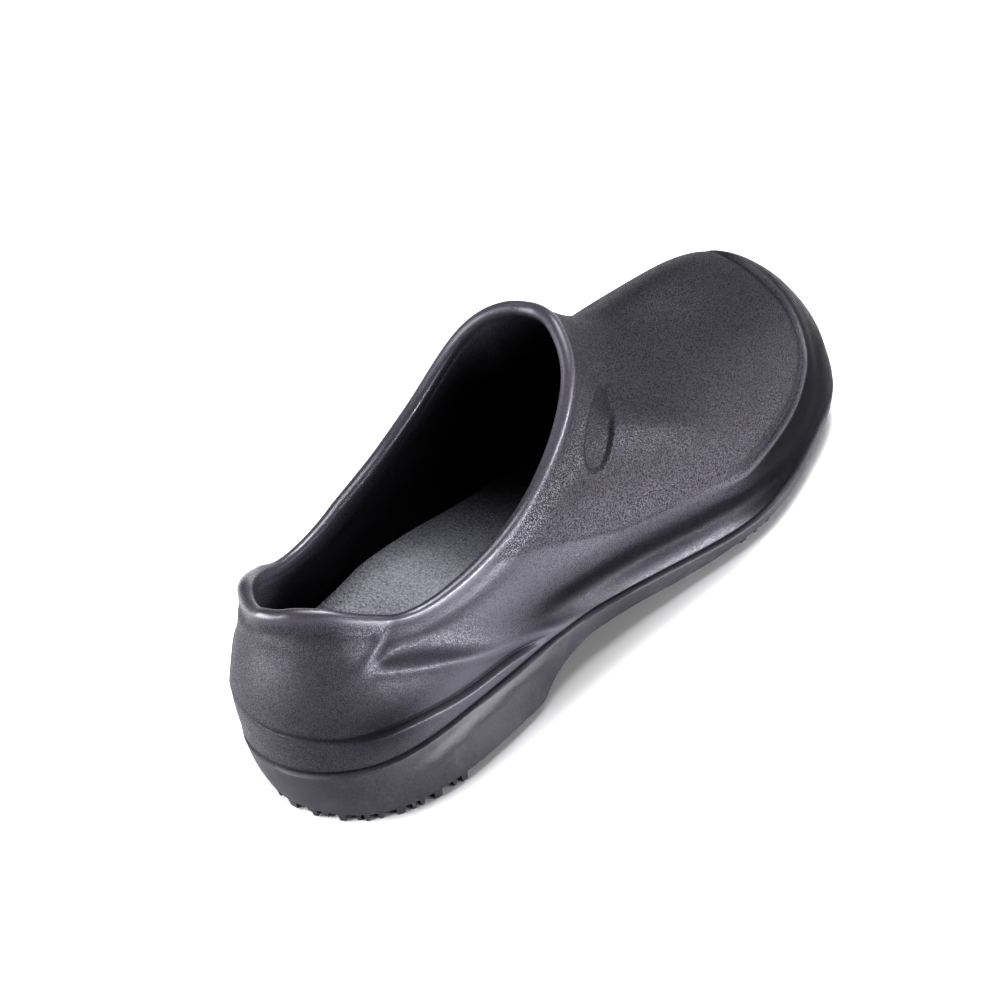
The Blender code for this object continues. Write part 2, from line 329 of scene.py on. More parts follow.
class Sock:
    """An output socket of a finish's node tree, with the operators of ordinary sums."""

    def __init__(self, desk: "Desk", socket: bpy.types.NodeSocket) -> None:
        """Keep the socket and the desk that its sums are added to."""
        self.desk = desk
        self.socket = socket

    __add__ = operator("ADD")
    __radd__ = operator("ADD", reflected=True)
    __sub__ = operator("SUBTRACT")
    __rsub__ = operator("SUBTRACT", reflected=True)
    __mul__ = operator("MULTIPLY")
    __rmul__ = operator("MULTIPLY", reflected=True)


class Desk:
    """The node tree of one finish or of the sky, with its shader."""

    def __init__(self, owner: Any, shader: str) -> None:
        """Start with nothing but the shader and its output.

        Args:
            owner: the material or world.
            shader: the name of its first shader node.
        """
        owner.use_nodes = True
        self.owner = owner
        self.tree = owner.node_tree
        self.shader = self.tree.nodes[shader]

    @classmethod
    def finish(cls, name: str) -> "Desk":
        """Start a material."""
        return cls(bpy.data.materials.new(name), "Principled BSDF")

    def add(self, kind: str, settings: dict[str, Any], values: dict[Any, Any], out: Any = 0) -> Sock:
        """Add one node.

        Args:
            kind: the node's type.
            settings: its properties, set before its sockets, with a ramp's stops under "stops".
            values: a value or a link for each socket that is named or numbered.
            out: the name or number of the output to return.

        Returns:
            The chosen output.
        """
        node = self.tree.nodes.new(kind)
        for key, value in settings.items():
            if key == "stops":
                ramp = node.color_ramp.elements
                for spot, (place, level) in enumerate(value):
                    stop = ramp[spot] if spot < len(ramp) else ramp.new(place)
                    stop.position = place
                    stop.color = (level, level, level, 1.0)
            else:
                setattr(node, key, value)
        for key, value in values.items():
            self.feed(node.inputs[key], value)
        return Sock(self, node.outputs[out])

    def feed(self, socket: bpy.types.NodeSocket, value: Any) -> None:
        """Link a wrapped output to a socket, or set the socket to a plain value.

        Args:
            socket: the socket to feed.
            value: an output, a colour, or any other value of the socket's kind.
        """
        if isinstance(value, Sock):
            self.tree.links.new(value.socket, socket)
        elif isinstance(value, tuple) and len(value) == 3 and socket.type == "RGBA":
            socket.default_value = (*value, 1.0)
        else:
            socket.default_value = value

    def set(self, **values: Any) -> None:
        """Feed sockets of the shader, named with underscores for spaces."""
        for key, value in values.items():
            self.feed(self.shader.inputs[key.replace("_", " ")], value)

    def blend(self, factor: Sock, other: Sock) -> None:
        """Mix a second shader over the first.

        Args:
            factor: the share of the second shader.
            other: the second shader.
        """
        first = Sock(self, self.shader.outputs["BSDF"])
        mixed = self.add("ShaderNodeMixShader", {}, {0: factor, 1: first, 2: other})
        self.feed(self.tree.nodes["Material Output"].inputs["Surface"], mixed)

    def place(self) -> Sock:
        """Return the object's own coordinates."""
        return self.add("ShaderNodeTexCoord", {}, {}, "Object")

    def painted(self, name: str) -> Sock:
        """Return a number painted on the piece's points."""
        return self.add("ShaderNodeAttribute", {"attribute_name": name}, {}, "Fac")

    def noise(self, place: Sock, cell: float, detail: float, roughness: float = 0.55) -> Sock:
        """Add a noise texture.

        Args:
            place: the coordinates.
            cell: size of its largest lumps in millimetres.
            detail: octaves of finer lumps.
            roughness: how strong the finer lumps are.

        Returns:
            Noise around 0.5.
        """
        values = {"Vector": place, "Scale": 1.0 / (cell * METRES), "Detail": detail, "Roughness": roughness}
        return self.add("ShaderNodeTexNoise", {}, values, "Fac")

    def swing(self, place: Sock, cell: float, detail: float, roughness: float = 0.55) -> Sock:
        """Return noise that swings around 0, with the sizes of noise."""
        return self.noise(place, cell, detail, roughness) - 0.5

    def ramp(self, value: Sock, *stops: Span) -> Sock:
        """Map a value through straight runs between stops of place and level."""
        return self.add("ShaderNodeValToRGB", {"stops": stops}, {"Fac": value}, "Color")

    def tint(self, factor: Sock, low: Colour, high: Colour) -> Sock:
        """Mix two colours by a factor."""
        settings = {"data_type": "RGBA", "clamp_factor": True}
        return self.add("ShaderNodeMix", settings, {0: factor, 6: low, 7: high}, 2)

    def bump(self, height: Sock, depth: float, strength: float) -> Sock:
        """Turn a height into a normal.

        Args:
            height: the height, over a range of about 1.
            depth: how deep 1 is, in millimetres.
            strength: share of the bump that shows.

        Returns:
            The bumped normal.
        """
        values = {"Height": height, "Distance": depth * METRES, "Strength": strength}
        return self.add("ShaderNodeBump", {}, values)


class Finish(Protocol):
    """What a piece can be dressed in."""

    def material(self) -> bpy.types.Material:
        """Build the node tree and return the material."""


@dataclass(frozen=True)
class MouldedFoam:
    """Matt charcoal foam out of a blasted mould: a sparkling fine grain, glossier on edges, with painted
    highlights, painted light and shade, and a dark painted-shade copy mixed in.
    """

    name: str = "moulded_foam"
    dark: Colour = (0.0070, 0.0067, 0.0082)
    light: Colour = (0.042, 0.040, 0.0485)
    grain_cell: float = 0.38
    grain_stops: Table = ((0.41, 0.0), (0.61, 1.0))
    pit_cell: float = 1.8
    cloud_cell: float = 34.0
    grain_depth: float = 0.14
    roughness: float = 0.57
    sheen: float = 0.30
    sheen_tint: Colour = (0.91, 0.90, 1.0)
    coat_roughness: float = 0.36
    # A dark, dull copy of the foam that is mixed in as painted shade
    painted_shade_tint: Colour = (0.0075, 0.0073, 0.0087)
    painted_shade_roughness: float = 0.38
    painted_shade_specular: float = 0.04

    def material(self) -> bpy.types.Material:
        """Build the node tree.

        Returns:
            A material whose grain fades where the piece's grain attribute is low, whose edges shine
            a little where its rub attribute is high, which is lighter where its tone attribute is
            high, and which turns sleek and dark where its sleek attribute is high.
        """
        desk = Desk.finish(self.name)
        place = desk.place()
        grain = desk.painted("grain")
        rub = desk.painted("rub")
        pits = desk.swing(place, self.pit_cell, 2.0)
        cloud = desk.swing(place, self.cloud_cell, 3.0)
        speck = desk.ramp(desk.noise(place, self.grain_cell, 0.0), *self.grain_stops)
        shade = speck * (0.2 + 0.9 * grain) + (0.27 - 0.30 * grain)
        # painted highlight: the highlight-and-gloss attribute lightens the colour, and it also makes the
        # foam glossier
        shade = shade + cloud * 0.35 + pits * 0.3 + rub
        # painted light and shade: the colour is made lighter or darker by the light-and-shade attribute
        shade = shade * (0.25 + 0.75 * desk.painted("light_and_shade"))
        rough = self.roughness + (0.5 - speck) * 0.26 + cloud * 0.14
        rough = rough - rub * 0.22 - (1.0 - grain) * 0.05
        relief = speck * (0.10 + 0.90 * grain) + pits * 0.12
        desk.set(
            Base_Color=desk.tint(shade, self.dark, self.light),
            Roughness=rough,
            Normal=desk.bump(relief, self.grain_depth, 0.45),
            Specular_IOR_Level=self.sheen,
            Specular_Tint=self.sheen_tint,
            Coat_Weight=rub * 0.3,
            Coat_Roughness=self.coat_roughness,
        )
        # painted shade: a dark, dull copy of the foam, mixed in by the painted-shade attribute
        painted_shade = {
            "Base Color": desk.tint(rub * 0.6 + pits * 0.3, self.painted_shade_tint, self.light),
            "Roughness": self.painted_shade_roughness + pits * 0.3 + cloud * 0.2,
            "Normal": desk.bump(relief, self.grain_depth, 0.3),
            "Specular IOR Level": self.painted_shade_specular,
        }
        desk.blend(desk.painted("painted_shade"), desk.add("ShaderNodeBsdfPrincipled", {}, painted_shade))
        return desk.owner


@dataclass(frozen=True)
class SoleRubber:
    """Satin black rubber with a faint cloud, fine moulding pits and dull scuffs near the floor."""

    name: str = "sole_rubber"
    dark: Colour = (0.010, 0.0098, 0.0115)
    light: Colour = (0.094, 0.090, 0.104)
    pit_cell: float = 0.9
    pit_depth: float = 0.12
    scuff_cell: float = 9.0
    scuff_stops: Table = ((0.52, 0.0), (0.74, 1.0))
    scuff_height: float = 12.0
    cloud_cell: float = 40.0
    roughness: float = 0.46
    sheen: float = 0.2

    def material(self) -> bpy.types.Material:
        """Build the node tree.

        Returns:
            A material that is dulled and lightened by scuffs, most of all on the tread.
        """
        desk = Desk.finish(self.name)
        place = desk.place()
        height = desk.add("ShaderNodeSeparateXYZ", {}, {0: place}, "Z")
        reach = {"From Min": 0.0, "From Max": self.scuff_height * METRES, "To Min": 1.0, "To Max": 0.0}
        tread = desk.add("ShaderNodeMapRange", {"clamp": True}, {"Value": height, **reach})
        fine = desk.swing(place, self.pit_cell, 3.0, 0.6)
        scuff = desk.noise(place, self.scuff_cell, 5.0, 0.7)
        cloud = desk.swing(place, self.cloud_cell, 2.0)
        # Scuffs: wear that leaves the tread lighter and duller near the floor
        wear_and_sheen = desk.ramp(scuff, *self.scuff_stops) * (0.25 + 0.5 * tread)
        shade = 0.30 + cloud * 0.5 + fine * 0.35 + wear_and_sheen * 0.5
        desk.set(
            Base_Color=desk.tint(shade, self.dark, self.light),
            Roughness=self.roughness + fine * 0.15 + wear_and_sheen * 0.2 + cloud * 0.1,
            Normal=desk.bump(fine + scuff * 0.5, self.pit_depth, 0.35),
            Specular_IOR_Level=self.sheen,
        )
        return desk.owner


@dataclass(frozen=True)
class FootbedFoam:
    """Grey foam with a pebbled leather grain pressed into it."""

    name: str = "footbed_foam"
    dark: Colour = (0.13, 0.13, 0.148)
    light: Colour = (0.37, 0.37, 0.42)
    fine_cell: float = 0.55
    pebble_cell: float = 1.1
    pebble_blend: float = 0.6
    pebble_depth: float = 0.8
    sway_cell: float = 3.3
    cloud_cell: float = 22.0
    roughness: float = 0.52

    def material(self) -> bpy.types.Material:
        """Build the node tree.

        Returns:
            A material with raised pebbles between dark creases.
        """
        desk = Desk.finish(self.name)
        place = desk.place()
        sway = desk.swing(place, self.sway_cell, 2.0)
        fine = desk.swing(place, self.fine_cell, 2.0)
        cloud = desk.swing(place, self.cloud_cell, 3.0)
        cells = {"Scale": 1.0 / (self.pebble_cell * METRES), "Smoothness": self.pebble_blend}
        pebble = desk.add(
            "ShaderNodeTexVoronoi",
            {"feature": "SMOOTH_F1"},
            {"Vector": place, **cells},
            "Distance",
        )
        mound = 0.5 - pebble
        shade = 0.37 + mound * 0.5 + cloud * 0.25 + fine * 1.7
        desk.set(
            Base_Color=desk.tint(shade, self.dark, self.light),
            Roughness=self.roughness - fine * 0.3 + cloud * 0.15,
            Normal=desk.bump(mound * 0.6 + sway * 0.3 + fine * 0.6, self.pebble_depth, 1.0),
        )
        return desk.owner


@dataclass(frozen=True)
class StudioFloor:
    """Pale matt board with a very faint cloud."""

    name: str = "studio_floor"
    low: Colour = (0.60, 0.60, 0.61)
    high: Colour = (0.66, 0.66, 0.66)
    cloud_cell: float = 240.0
    roughness: float = 0.55

    def material(self) -> bpy.types.Material:
        """Build the node tree.

        Returns:
            A material that varies a little between two greys.
        """
        desk = Desk.finish(self.name)
        cloud = desk.noise(desk.place(), self.cloud_cell, 2.0)
        desk.set(Base_Color=desk.tint(cloud, self.low, self.high), Roughness=self.roughness)
        return desk.owner


@dataclass(frozen=True)
class Section:
    """One section of the last.

    Edge and rim are percents of length, ball width and a height, which is the heel's lift for the edge
    and the instep's height for the rim. The wall's points are millimetres inward and up from the edge,
    the swells stand out of the chord from crown to rim, and taper is how far the sole draws in below.
    """

    edge: Row
    rim: Row
    flute: Row
    belly: Row
    brow: Row
    crown: Row
    swell: Row
    taper: float


# The sections in turn, from the back of the heel along the outer side to the toe and back
SECTION_ROWS = (
    ((0, 1, 100), (4.1, 1, 77.3), (-0.3, 14.5), (-0.3, 21), (2.5, 34), (7.5, 46), (0.5, 0), 3.4),
    ((6.2, -28.6, 100), (8.6, -17.6, 73.3), (-0.5, 12), (-1, 19), (1, 32), (5, 43), (0.5, 0), 0.6),
    ((18.1, -37, 101), (15.4, -27.8, 63.5), (-0.5, 8), (-1.5, 14), (-0.5, 24), (3.5, 33), (0.5, 0), -1.4),
    ((28.1, -37.8, 95.5), (28.1, -31.7, 62.8), (0, 9), (-1.5, 18), (-1, 26), (1, 34), (0.5, 0), -1.2),
    ((39.2, -38.1, 82), (40.8, -30.8, 73.2), (1.5, 6), (-1, 20), (-1, 30), (1.5, 42), (1, 0.5), 1.6),
    ((56, -44.6, 50.5), (50.2, -24.2, 90.4), (3.5, 10), (2, 18), (1.5, 25), (6.5, 48), (0.5, -2), 2),
    ((69.8, -50, 37.5), (53.5, -15.2, 97.2), (2.5, 5), (2.5, 9), (2, 12), (8.5, 36), (0, -6), 1.6),
    ((83.5, -42.5, 46), (55, -8, 99.6), (2.4, 6), (2.8, 11), (4, 17), (13, 38), (0.5, -8), 1.6),
    ((95.6, -26.8, 61), (55.6, -3, 100), (1.8, 7), (2, 14), (5, 23), (17, 42), (-2, -9.5), 2.5),
    ((100, 3, 73.5), (55.8, 1, 100), (0.6, 8), (0.2, 17), (5.4, 28), (19, 44.5), (0, -10), 4),
    ((97.9, 31, 65.5), (55.6, 5, 100), (0.6, 8.5), (0.6, 16.5), (7, 25), (18, 39), (-2.5, -9.5), 3),
    ((85.8, 46.2, 49), (55, 10, 99.6), (2, 6), (2, 12), (4.5, 20), (16.5, 34), (-1, -9), 2.5),
    ((70.5, 49.8, 37.5), (53.5, 17.2, 97.2), (2.5, 5), (2.5, 9), (3, 12), (11, 32), (-2, -8), 2),
    ((56.6, 43.1, 50), (50.2, 26, 90), (3, 10), (2, 18), (2, 25), (7.5, 46), (-1, -3), 2.5),
    ((41.3, 36, 79), (40.8, 32.6, 72.8), (1.5, 6), (-1, 20), (-1, 30), (1.5, 42), (1, 0.5), 2.6),
    ((28.1, 35.9, 94), (28.1, 33.2, 62.8), (0, 9), (-1.5, 18), (-1.5, 26), (0.5, 34), (0.5, 0), 1),
    ((18.1, 36.4, 99.5), (15.4, 30, 63.8), (-0.5, 8), (-1.5, 14), (-0.5, 24), (3, 33), (0.5, 0), 1),
    ((5.2, 32.6, 100), (8.2, 20.2, 73.8), (0.2, 12), (1.2, 19), (5.5, 32), (10, 43), (0.5, 0), 3.6),
)
SECTIONS = tuple(Section(*row) for row in SECTION_ROWS)


@dataclass(frozen=True)
class Last:
    """The form that the shoe is made on, named by four sizes and its sections."""

    length: float = 288.0
    ball_width: float = 104.6
    instep_height: float = 111.0
    heel_lift: float = 24.5
    lip_radius: float = 2.2
    low_share: float = 0.35
    high_share: float = 0.7
    top_level: float = 7.0
    sections: tuple[Section, ...] = SECTIONS

    def along(self, percent: Any) -> Any:
        """Turn a percent of length, counted from the heel, into X."""
        return (percent / 100.0 - 0.5) * self.length

    def placed(self, spot: Row, height: float) -> Row:
        """Turn percents of length, ball width and a height into millimetres."""
        return (self.along(spot[0]), spot[1] / 100.0 * self.ball_width, spot[2] / 100.0 * height)

    def edge(self, stations: Array) -> Array:
        """Return the loop where upper and outsole meet."""
        return closed_curve([self.placed(s.edge, self.heel_lift) for s in self.sections], stations)

    def rim(self, stations: Array) -> Array:
        """Return the loop along the top of the collar."""
        return closed_curve([self.placed(s.rim, self.instep_height) for s in self.sections], stations)

    def taper(self, stations: Array) -> Array:
        """Return how far the sole draws in below its edge."""
        return closed_curve([(s.taper, 0.0) for s in self.sections], stations)[:, 0]

    def marked(self, marks: Table, stations: Array) -> Array:
        """Read a line that is drawn around the shoe by marks.

        Args:
            marks: pairs of station and value, in order around the shoe.
            stations: station numbers with fractions.

        Returns:
            The value of the line at each of stations.
        """
        samples = 24
        rows = np.asarray(marks, dtype=float)
        turn = np.array((len(self.sections), 0.0))
        wide = np.concatenate([rows - turn, rows, rows + turn])
        knots = np.linspace(0.0, len(wide) - 1.0, samples * len(wide))
        line = Curve(wide[None]).at(knots[None])[0]
        return np.interp(stations, line[:, 0], line[:, 1])

    def wall(self, stations: Array) -> Curve:
        """Return the outer wall as one curve for each station, from edge to rim.

        A section's points lie inward along the plan direction from edge to rim, and up. The last
        three are the low and the high share along the chord from crown to rim, moved out by the
        swells, and the end of the skin just below the lip.

        Args:
            stations: station numbers with fractions.

        Returns:
            Curves with the eight levels edge, flute, belly, brow, crown, low, high and end.
        """
        edge = self.edge(stations)
        rim = self.rim(stations)
        rows = [s.flute + s.belly + s.brow + s.crown + s.swell for s in self.sections]
        flute, belly, brow, crown, swell = np.split(closed_curve(rows, stations), 5, axis=1)
        across = rim[:, :2] - edge[:, :2]
        reach = np.linalg.norm(across, axis=1)
        way = across / reach[:, None]
        end = np.stack([reach, rim[:, 2] - edge[:, 2]], axis=1) - self.lip_radius
        chord = end - crown
        out = unit(np.stack([-chord[:, 1], chord[:, 0]], axis=1))
        low = crown + chord * self.low_share + out * swell[:, :1]
        high = crown + chord * self.high_share + out * swell[:, 1:]
        spots = np.stack([np.zeros_like(end), flute, belly, brow, crown, low, high, end], axis=1)
        plan = edge[:, None, :2] + way[:, None] * spots[..., :1]
        return Curve(np.concatenate([plan, edge[:, None, 2:] + spots[..., 1:]], axis=2))


@dataclass
class Skin:
    """The upper's plain outer surface, with the distances that its relief is drawn by."""

    points: Array
    normals: Array
    up: Array
    band: Array
    bumper: Array
    fall: Array

    @property
    def x(self) -> Array:
        """Return how far forward each point lies."""
        return self.points[..., 0]

    @property
    def y(self) -> Array:
        """Return how far to the wearer's left each point lies."""
        return self.points[..., 1]

    @property
    def z(self) -> Array:
        """Return the height of each point."""
        return self.points[..., 2]


@dataclass
class Part(ABC):
    """A piece of the shoe on the shared last, with a gap to its neighbours."""

    last: Last
    finish: Finish
    gap: float = 0.3

    @abstractmethod
    def build(self) -> bpy.types.Object:
        """Make the piece without its material."""

    def dress(self, piece: bpy.types.Object) -> None:
        """Give a piece its finish and no other."""
        piece.data.materials.clear()
        piece.data.materials.append(self.finish.material())


@dataclass
class Upper(Part):
    """The hollow moulded upper: outer skin with its relief, collar lip and lining in one shell.

    A hump is a height, a middle and a width. A mix holds the weights of the zones of a paint.
    """

    wall: float = 4.4
    columns: tuple[int, ...] = (24, 40, 26, 24, 44, 34, 20, 20, 18, 16, 16, 16, 16, 20, 20, 24, 36, 24)
    band_rows: int = 24
    bumper_rows: int = 46
    vamp_rows: int = 76
    lip_rows: int = 10
    # Rows of the lining that are all kept below the lip, and the step between rows further down
    lining_top: int = 10
    lining_step: int = 4
    # Lines around the shoe, as station and level: the heel band's crease and the bumper's ridge
    band_line: Table = (
        (0.0, 1.56), (0.5, 1.32), (1.0, 1.14), (1.3, 1.28), (1.6, 1.26), (2.05, 0.9), (2.6, 0.72),
        (3.1, 0.55), (3.7, 0.35), (4.5, 0.3), (9.0, 0.5), (13.5, 0.3), (14.3, 0.35), (14.9, 0.55),
        (15.4, 0.72), (15.95, 0.9), (16.4, 1.35), (16.8, 1.65), (17.3, 2.12), (17.7, 1.88),
    )
    bumper_line: Table = (
        (0.0, 3.0), (2.0, 3.0), (4.0, 3.0), (5.0, 3.08), (5.7, 3.33), (6.3, 3.38), (6.85, 3.15),
        (7.15, 3.12), (7.45, 3.25), (7.65, 3.5), (7.85, 3.78), (8.1, 4.02), (8.45, 4.14), (9.0, 4.2),
        (9.5, 4.08), (9.85, 3.82), (10.15, 3.55), (10.4, 3.34), (10.6, 3.2), (10.9, 3.12), (11.2, 3.15),
        (11.8, 3.38), (12.4, 3.33), (13.0, 3.08), (14.0, 3.0), (16.0, 3.0),
    )
    # Toe bumper: where it starts, where it ends on the inner side, and its step, ridge and trough
    bumper_start: Span = (24.0, 62.0)
    bumper_inner: Span = (-6.0, 20.0)
    bumper_step: float = 0.6
    bumper_rise: Window = ((-14.0, -3.0), (-0.4, 1.6))
    bumper_ridge: Hump = (0.7, 0.0, 0.6)
    bumper_trough: Hump = (-0.9, 2.3, 1.9)
    # Flute: its start, its turn to a swell at the toe, its height and drop, and widths above and below
    flute_start: Span = (-72.0, -30.0)
    flute_end: Span = (50.0, 95.0)
    flute_turn: float = 1.5
    flute_up: float = 9.5
    flute_drop: float = 3.5
    flute_drop_span: Span = (35.0, 75.0)
    flute_widths: Span = (7.0, 4.8)
    flute_depth: float = 2.2
    belly_end: Span = (20.0, 60.0)
    belly: Hump = (0.9, 22.5, 6.5)
    # Heel band: where it ends and turns to the side, and the height and run of the counter over it
    band_end: Span = (-66.0, -44.0)
    band_turn: Span = (-139.0, -124.0)
    band_foot: Span = (0.0, 2.5)
    band_swell: Hump = (0.35, -2.2, 1.8)
    band_crease: Hump = (-1.2, -0.3, 0.9)
    counter_lip: Span = (0.55, 5.0)
    counter_tuck: Span = (1.5, 6.5)
    # Side panel: its lower ridge as X and Z, and a point and the normal of the crease behind it
    panel_ridge: Table = (
        (-119.0, 62.0), (-106.6, 56.0), (-96.8, 51.2), (-86.0, 45.2), (-74.0, 39.3), (-62.5, 34.0),
        (-42.3, 25.3), (-23.5, 19.0),
    )
    panel_slant: float = 0.9
    panel_corner: Span = (-117.0, 63.0)
    panel_crease: Span = (0.5, -0.866)
    panel_round: float = 1.8
    panel_end: Span = (-66.0, -10.0)
    panel_rim: Span = (0.5, 12.0)
    panel_at_rim: float = 0.32
    panel_depth: float = 3.6
    panel_edge: float = 0.35
    panel_slope: float = 3.8
    panel_flat: float = 2.0
    panel_blend: float = 21.0
    panel_power: float = 1.6
    panel_lip: float = 0.2
    panel_lip_width: float = 1.9
    # Moulding line where the vamp's coarse grain ends, as X and Z, and its step
    moulding_line: Table = (
        (-70.0, 68.0), (-58.0, 65.0), (-47.0, 62.0), (-36.0, 57.0), (-22.0, 50.0), (-7.0, 43.2),
        (9.0, 39.0), (28.0, 36.0), (60.0, 30.0),
    )
    moulding_reach: Window = ((-66.0, -48.0), (10.0, 36.0))
    moulding_step: float = 0.4
    moulding_run: Span = (2.0, 16.0)
    # Collar: its bead and groove, how far its rim leans in at the back and stands over the last
    heel_reach: Span = (-134.0, -98.0)
    back_reach: Span = (-136.0, -122.0)
    bead: Hump = (0.5, 0.0, 3.2)
    lining_roll: Hump = (-1.2, 0.0, 4.5)
    lining_roll_least: float = 0.3
    lining_line: Hump = (0.35, 2.6, 0.7)
    groove_depth: float = 0.8
    groove_reach: Window = ((2.0, 6.0), (6.0, 14.0))
    rim_lean: float = 1.2
    rim_lean_run: Span = (2.0, 22.0)
    rim_lift: Table = (
        (0.0, -0.9), (0.3, 0.0), (0.6, 1.3), (0.9, 1.4), (1.25, 0.6), (1.7, 0.0), (2.5, 0.0),
        (9.0, 0.0), (16.0, 0.0), (17.0, -0.2), (17.35, -1.6), (17.7, -2.0),
    )
    rim_lift_run: Span = (0.0, 22.0)
    # Leaf-shaped recess: its side, its middle, the ways along and across it, and its half sizes
    leaf_side: Side = Side.OUTER
    leaf_middle: Row = (2.3, -33.9, 78.2)
    leaf_along: Row = (0.645, 0.158, 0.747)
    leaf_across: Row = (0.551, -0.774, -0.311)
    leaf_half: Span = (16.8, 4.7)
    leaf_narrowing: float = 0.22
    leaf_outside: float = 9.0
    leaf_depth: float = 1.4
    leaf_wall: Span = (0.85, 1.03)
    leaf_border: Hump = (0.15, 1.12, 0.08)
    # Rounding of the lower edge
    foot_tuck: float = 2.0
    foot_round: float = 1.4
    # Zones of the paints: spans that they fade over
    toe_zone: Span = (30.0, 70.0)
    bumper_zone: Span = (-1.0, 0.0)
    trough_start: Span = (0.2, 1.2)
    trough_flat: float = 1.5
    heel_zone: Span = (-100.0, -60.0)
    back_zone: Span = (-74.0, -24.0)
    side_end: Span = (30.0, 60.0)
    side_over: Span = (-3.0, 3.0)
    flange_zone: Span = (6.0, 14.0)
    vamp_over: Span = (4.0, 20.0)
    leaf_zone: Span = (0.9, 1.05)
    # Zones of the paints: middles and widths of bells, and those of two spots along X and Z
    ridge_zone: Span = (0.0, 0.6)
    trough_zone: Span = (0.0, 5.0)
    line_zone: Span = (0.0, 0.6)
    crease_zone: Span = (0.4, 1.6)
    seam_zone: Span = (0.0, 1.3)
    rim_zone: Span = (0.0, 1.6)
    groove_zone: Span = (6.0, 2.6)
    # Arm spot: painted light on the counter's arm; counter spot: painted shade on the heel counter
    arm_spot: Table = ((-90.0, 18.0), (34.0, 9.0))
    counter_spot: Table = ((-122.0, 12.0), (39.0, 9.0))
    # Paints, with what they are inside the shell and on its lip: the grain, and painted highlight, light
    # and shade
    grain_mix: Mix = (("bumper", -0.8), ("side", -0.3), ("heel", -0.75), ("flange", -0.6))
    grain_least: float = 0.1
    grain_inside: float = 0.6
    # Painted highlight with gloss: on the bumper's ridge, along the collar rim, on the counter's arm and as
    # a sheen on the quarter; brightest on the lip, and painted light on the lining near the rim
    highlight_and_gloss_mix: Mix = (("ridge", 0.6), ("rim", 0.4), ("arm", 0.35), ("wear_and_sheen", 0.25))
    highlight_lip: float = 1.8
    highlight_lip_less: float = 0.9
    highlight_lip_span: Span = (-60.0, 0.0)
    lining_light: Hump = (1.1, 0.0, 16.0)
    lining_light_heel: float = 1.5
    # Painted light and shade: lighter at the back, on the quarter and on the counter's edge and arm; darker
    # on the vamp, in the flute, in the leaf recess, on the panel's slope and floor, on the heel counter, in
    # the trough behind the bumper, along the moulding line and in the groove under the collar bead
    light_and_shade_mix: Mix = (
        ("back", 0.78), ("quarter", 0.45), ("edge", 0.6), ("arm", 0.6), ("vamp", -0.5), ("hollow", -0.5),
        ("leaf", -0.4), ("slope", -1.0), ("sunk", -0.6), ("counter", -1.2), ("trough", -0.45),
        ("line", -0.3), ("groove", -0.8),
    )
    # Painted shade: the dark copy of the foam in the flute, in the heel band's crease, along the seam above
    # the sole and on the heel counter; on the toe bumper it is partly a darker, smoother finish and partly
    # painted shade
    painted_shade_mix: Mix = (("bumper", 0.94), ("hollow", 0.75), ("crease", 0.8), ("seam", 0.9), ("counter", 0.4))

    def skin(self) -> Skin:
        """Work out the plain outer surface, with rows gathered on the two marked lines.

        Returns:
            The surface and its distances along the wall.
        """
        stations = spread_stations(self.columns)
        band = self.last.marked(self.band_line, stations)[:, None]
        bumper = self.last.marked(self.bumper_line, stations)[:, None]
        low = np.arange(self.band_rows)[None] / self.band_rows * band
        middle = band + np.arange(self.bumper_rows)[None] / self.bumper_rows * (bumper - band)
        left = self.last.top_level - bumper
        high = bumper + np.arange(self.vamp_rows + 1)[None] / self.vamp_rows * left
        points = self.last.wall(stations).at(np.concatenate([low, middle, high], axis=1))
        step = np.linalg.norm(np.diff(points, axis=1), axis=2)
        run = np.concatenate([np.zeros((len(step), 1)), np.cumsum(step, axis=1)], axis=1)
        fall = run[:, -1:] - run
        lift = self.last.marked(self.rim_lift, stations)[:, None]
        points[..., 2] += lift * fade(self.rim_lift_run, fall)
        ridge = self.band_rows + self.bumper_rows
        return Skin(
            points=points,
            normals=grid_normals(points),
            up=points[..., 2] - points[:, :1, 2],
            band=run - run[:, self.band_rows, None],
            bumper=run - run[:, ridge, None],
            fall=fall,
        )

    def toe_bumper(self, skin: Skin) -> Array:
        """Work out the bumper: a step up to a thin ridge, and a trough in the vamp behind it.

        Args:
            skin: the plain surface.

        Returns:
            The relief in millimetres, outward.
        """
        there = smooth(self.bumper_start, skin.x) * fade(self.bumper_inner, skin.y)
        step = self.bumper_step * window(self.bumper_rise, skin.bumper)
        return there * (step + hump(self.bumper_ridge, skin.bumper) + hump(self.bumper_trough, skin.bumper))

    def flute_hollow(self, skin: Skin) -> Array:
        """Work out the flute's hollow, a bell over the height that turns to a swell at the toe.

        Args:
            skin: the plain surface.

        Returns:
            The share of the flute's depth.
        """
        there = smooth(self.flute_start, skin.x) * (1.0 - self.flute_turn * smooth(self.flute_end, skin.x))
        over = skin.up - self.flute_up + self.flute_drop * smooth(self.flute_drop_span, skin.x)
        return there * bell(over / np.where(over > 0.0, *self.flute_widths))

    def flute(self, skin: Skin) -> Array:
        """Return the hollow above the lower flange and the swell of the belly over it."""
        there = window((self.flute_start, self.belly_end), skin.x)
        return there * hump(self.belly, skin.up) - self.flute_depth * self.flute_hollow(skin)

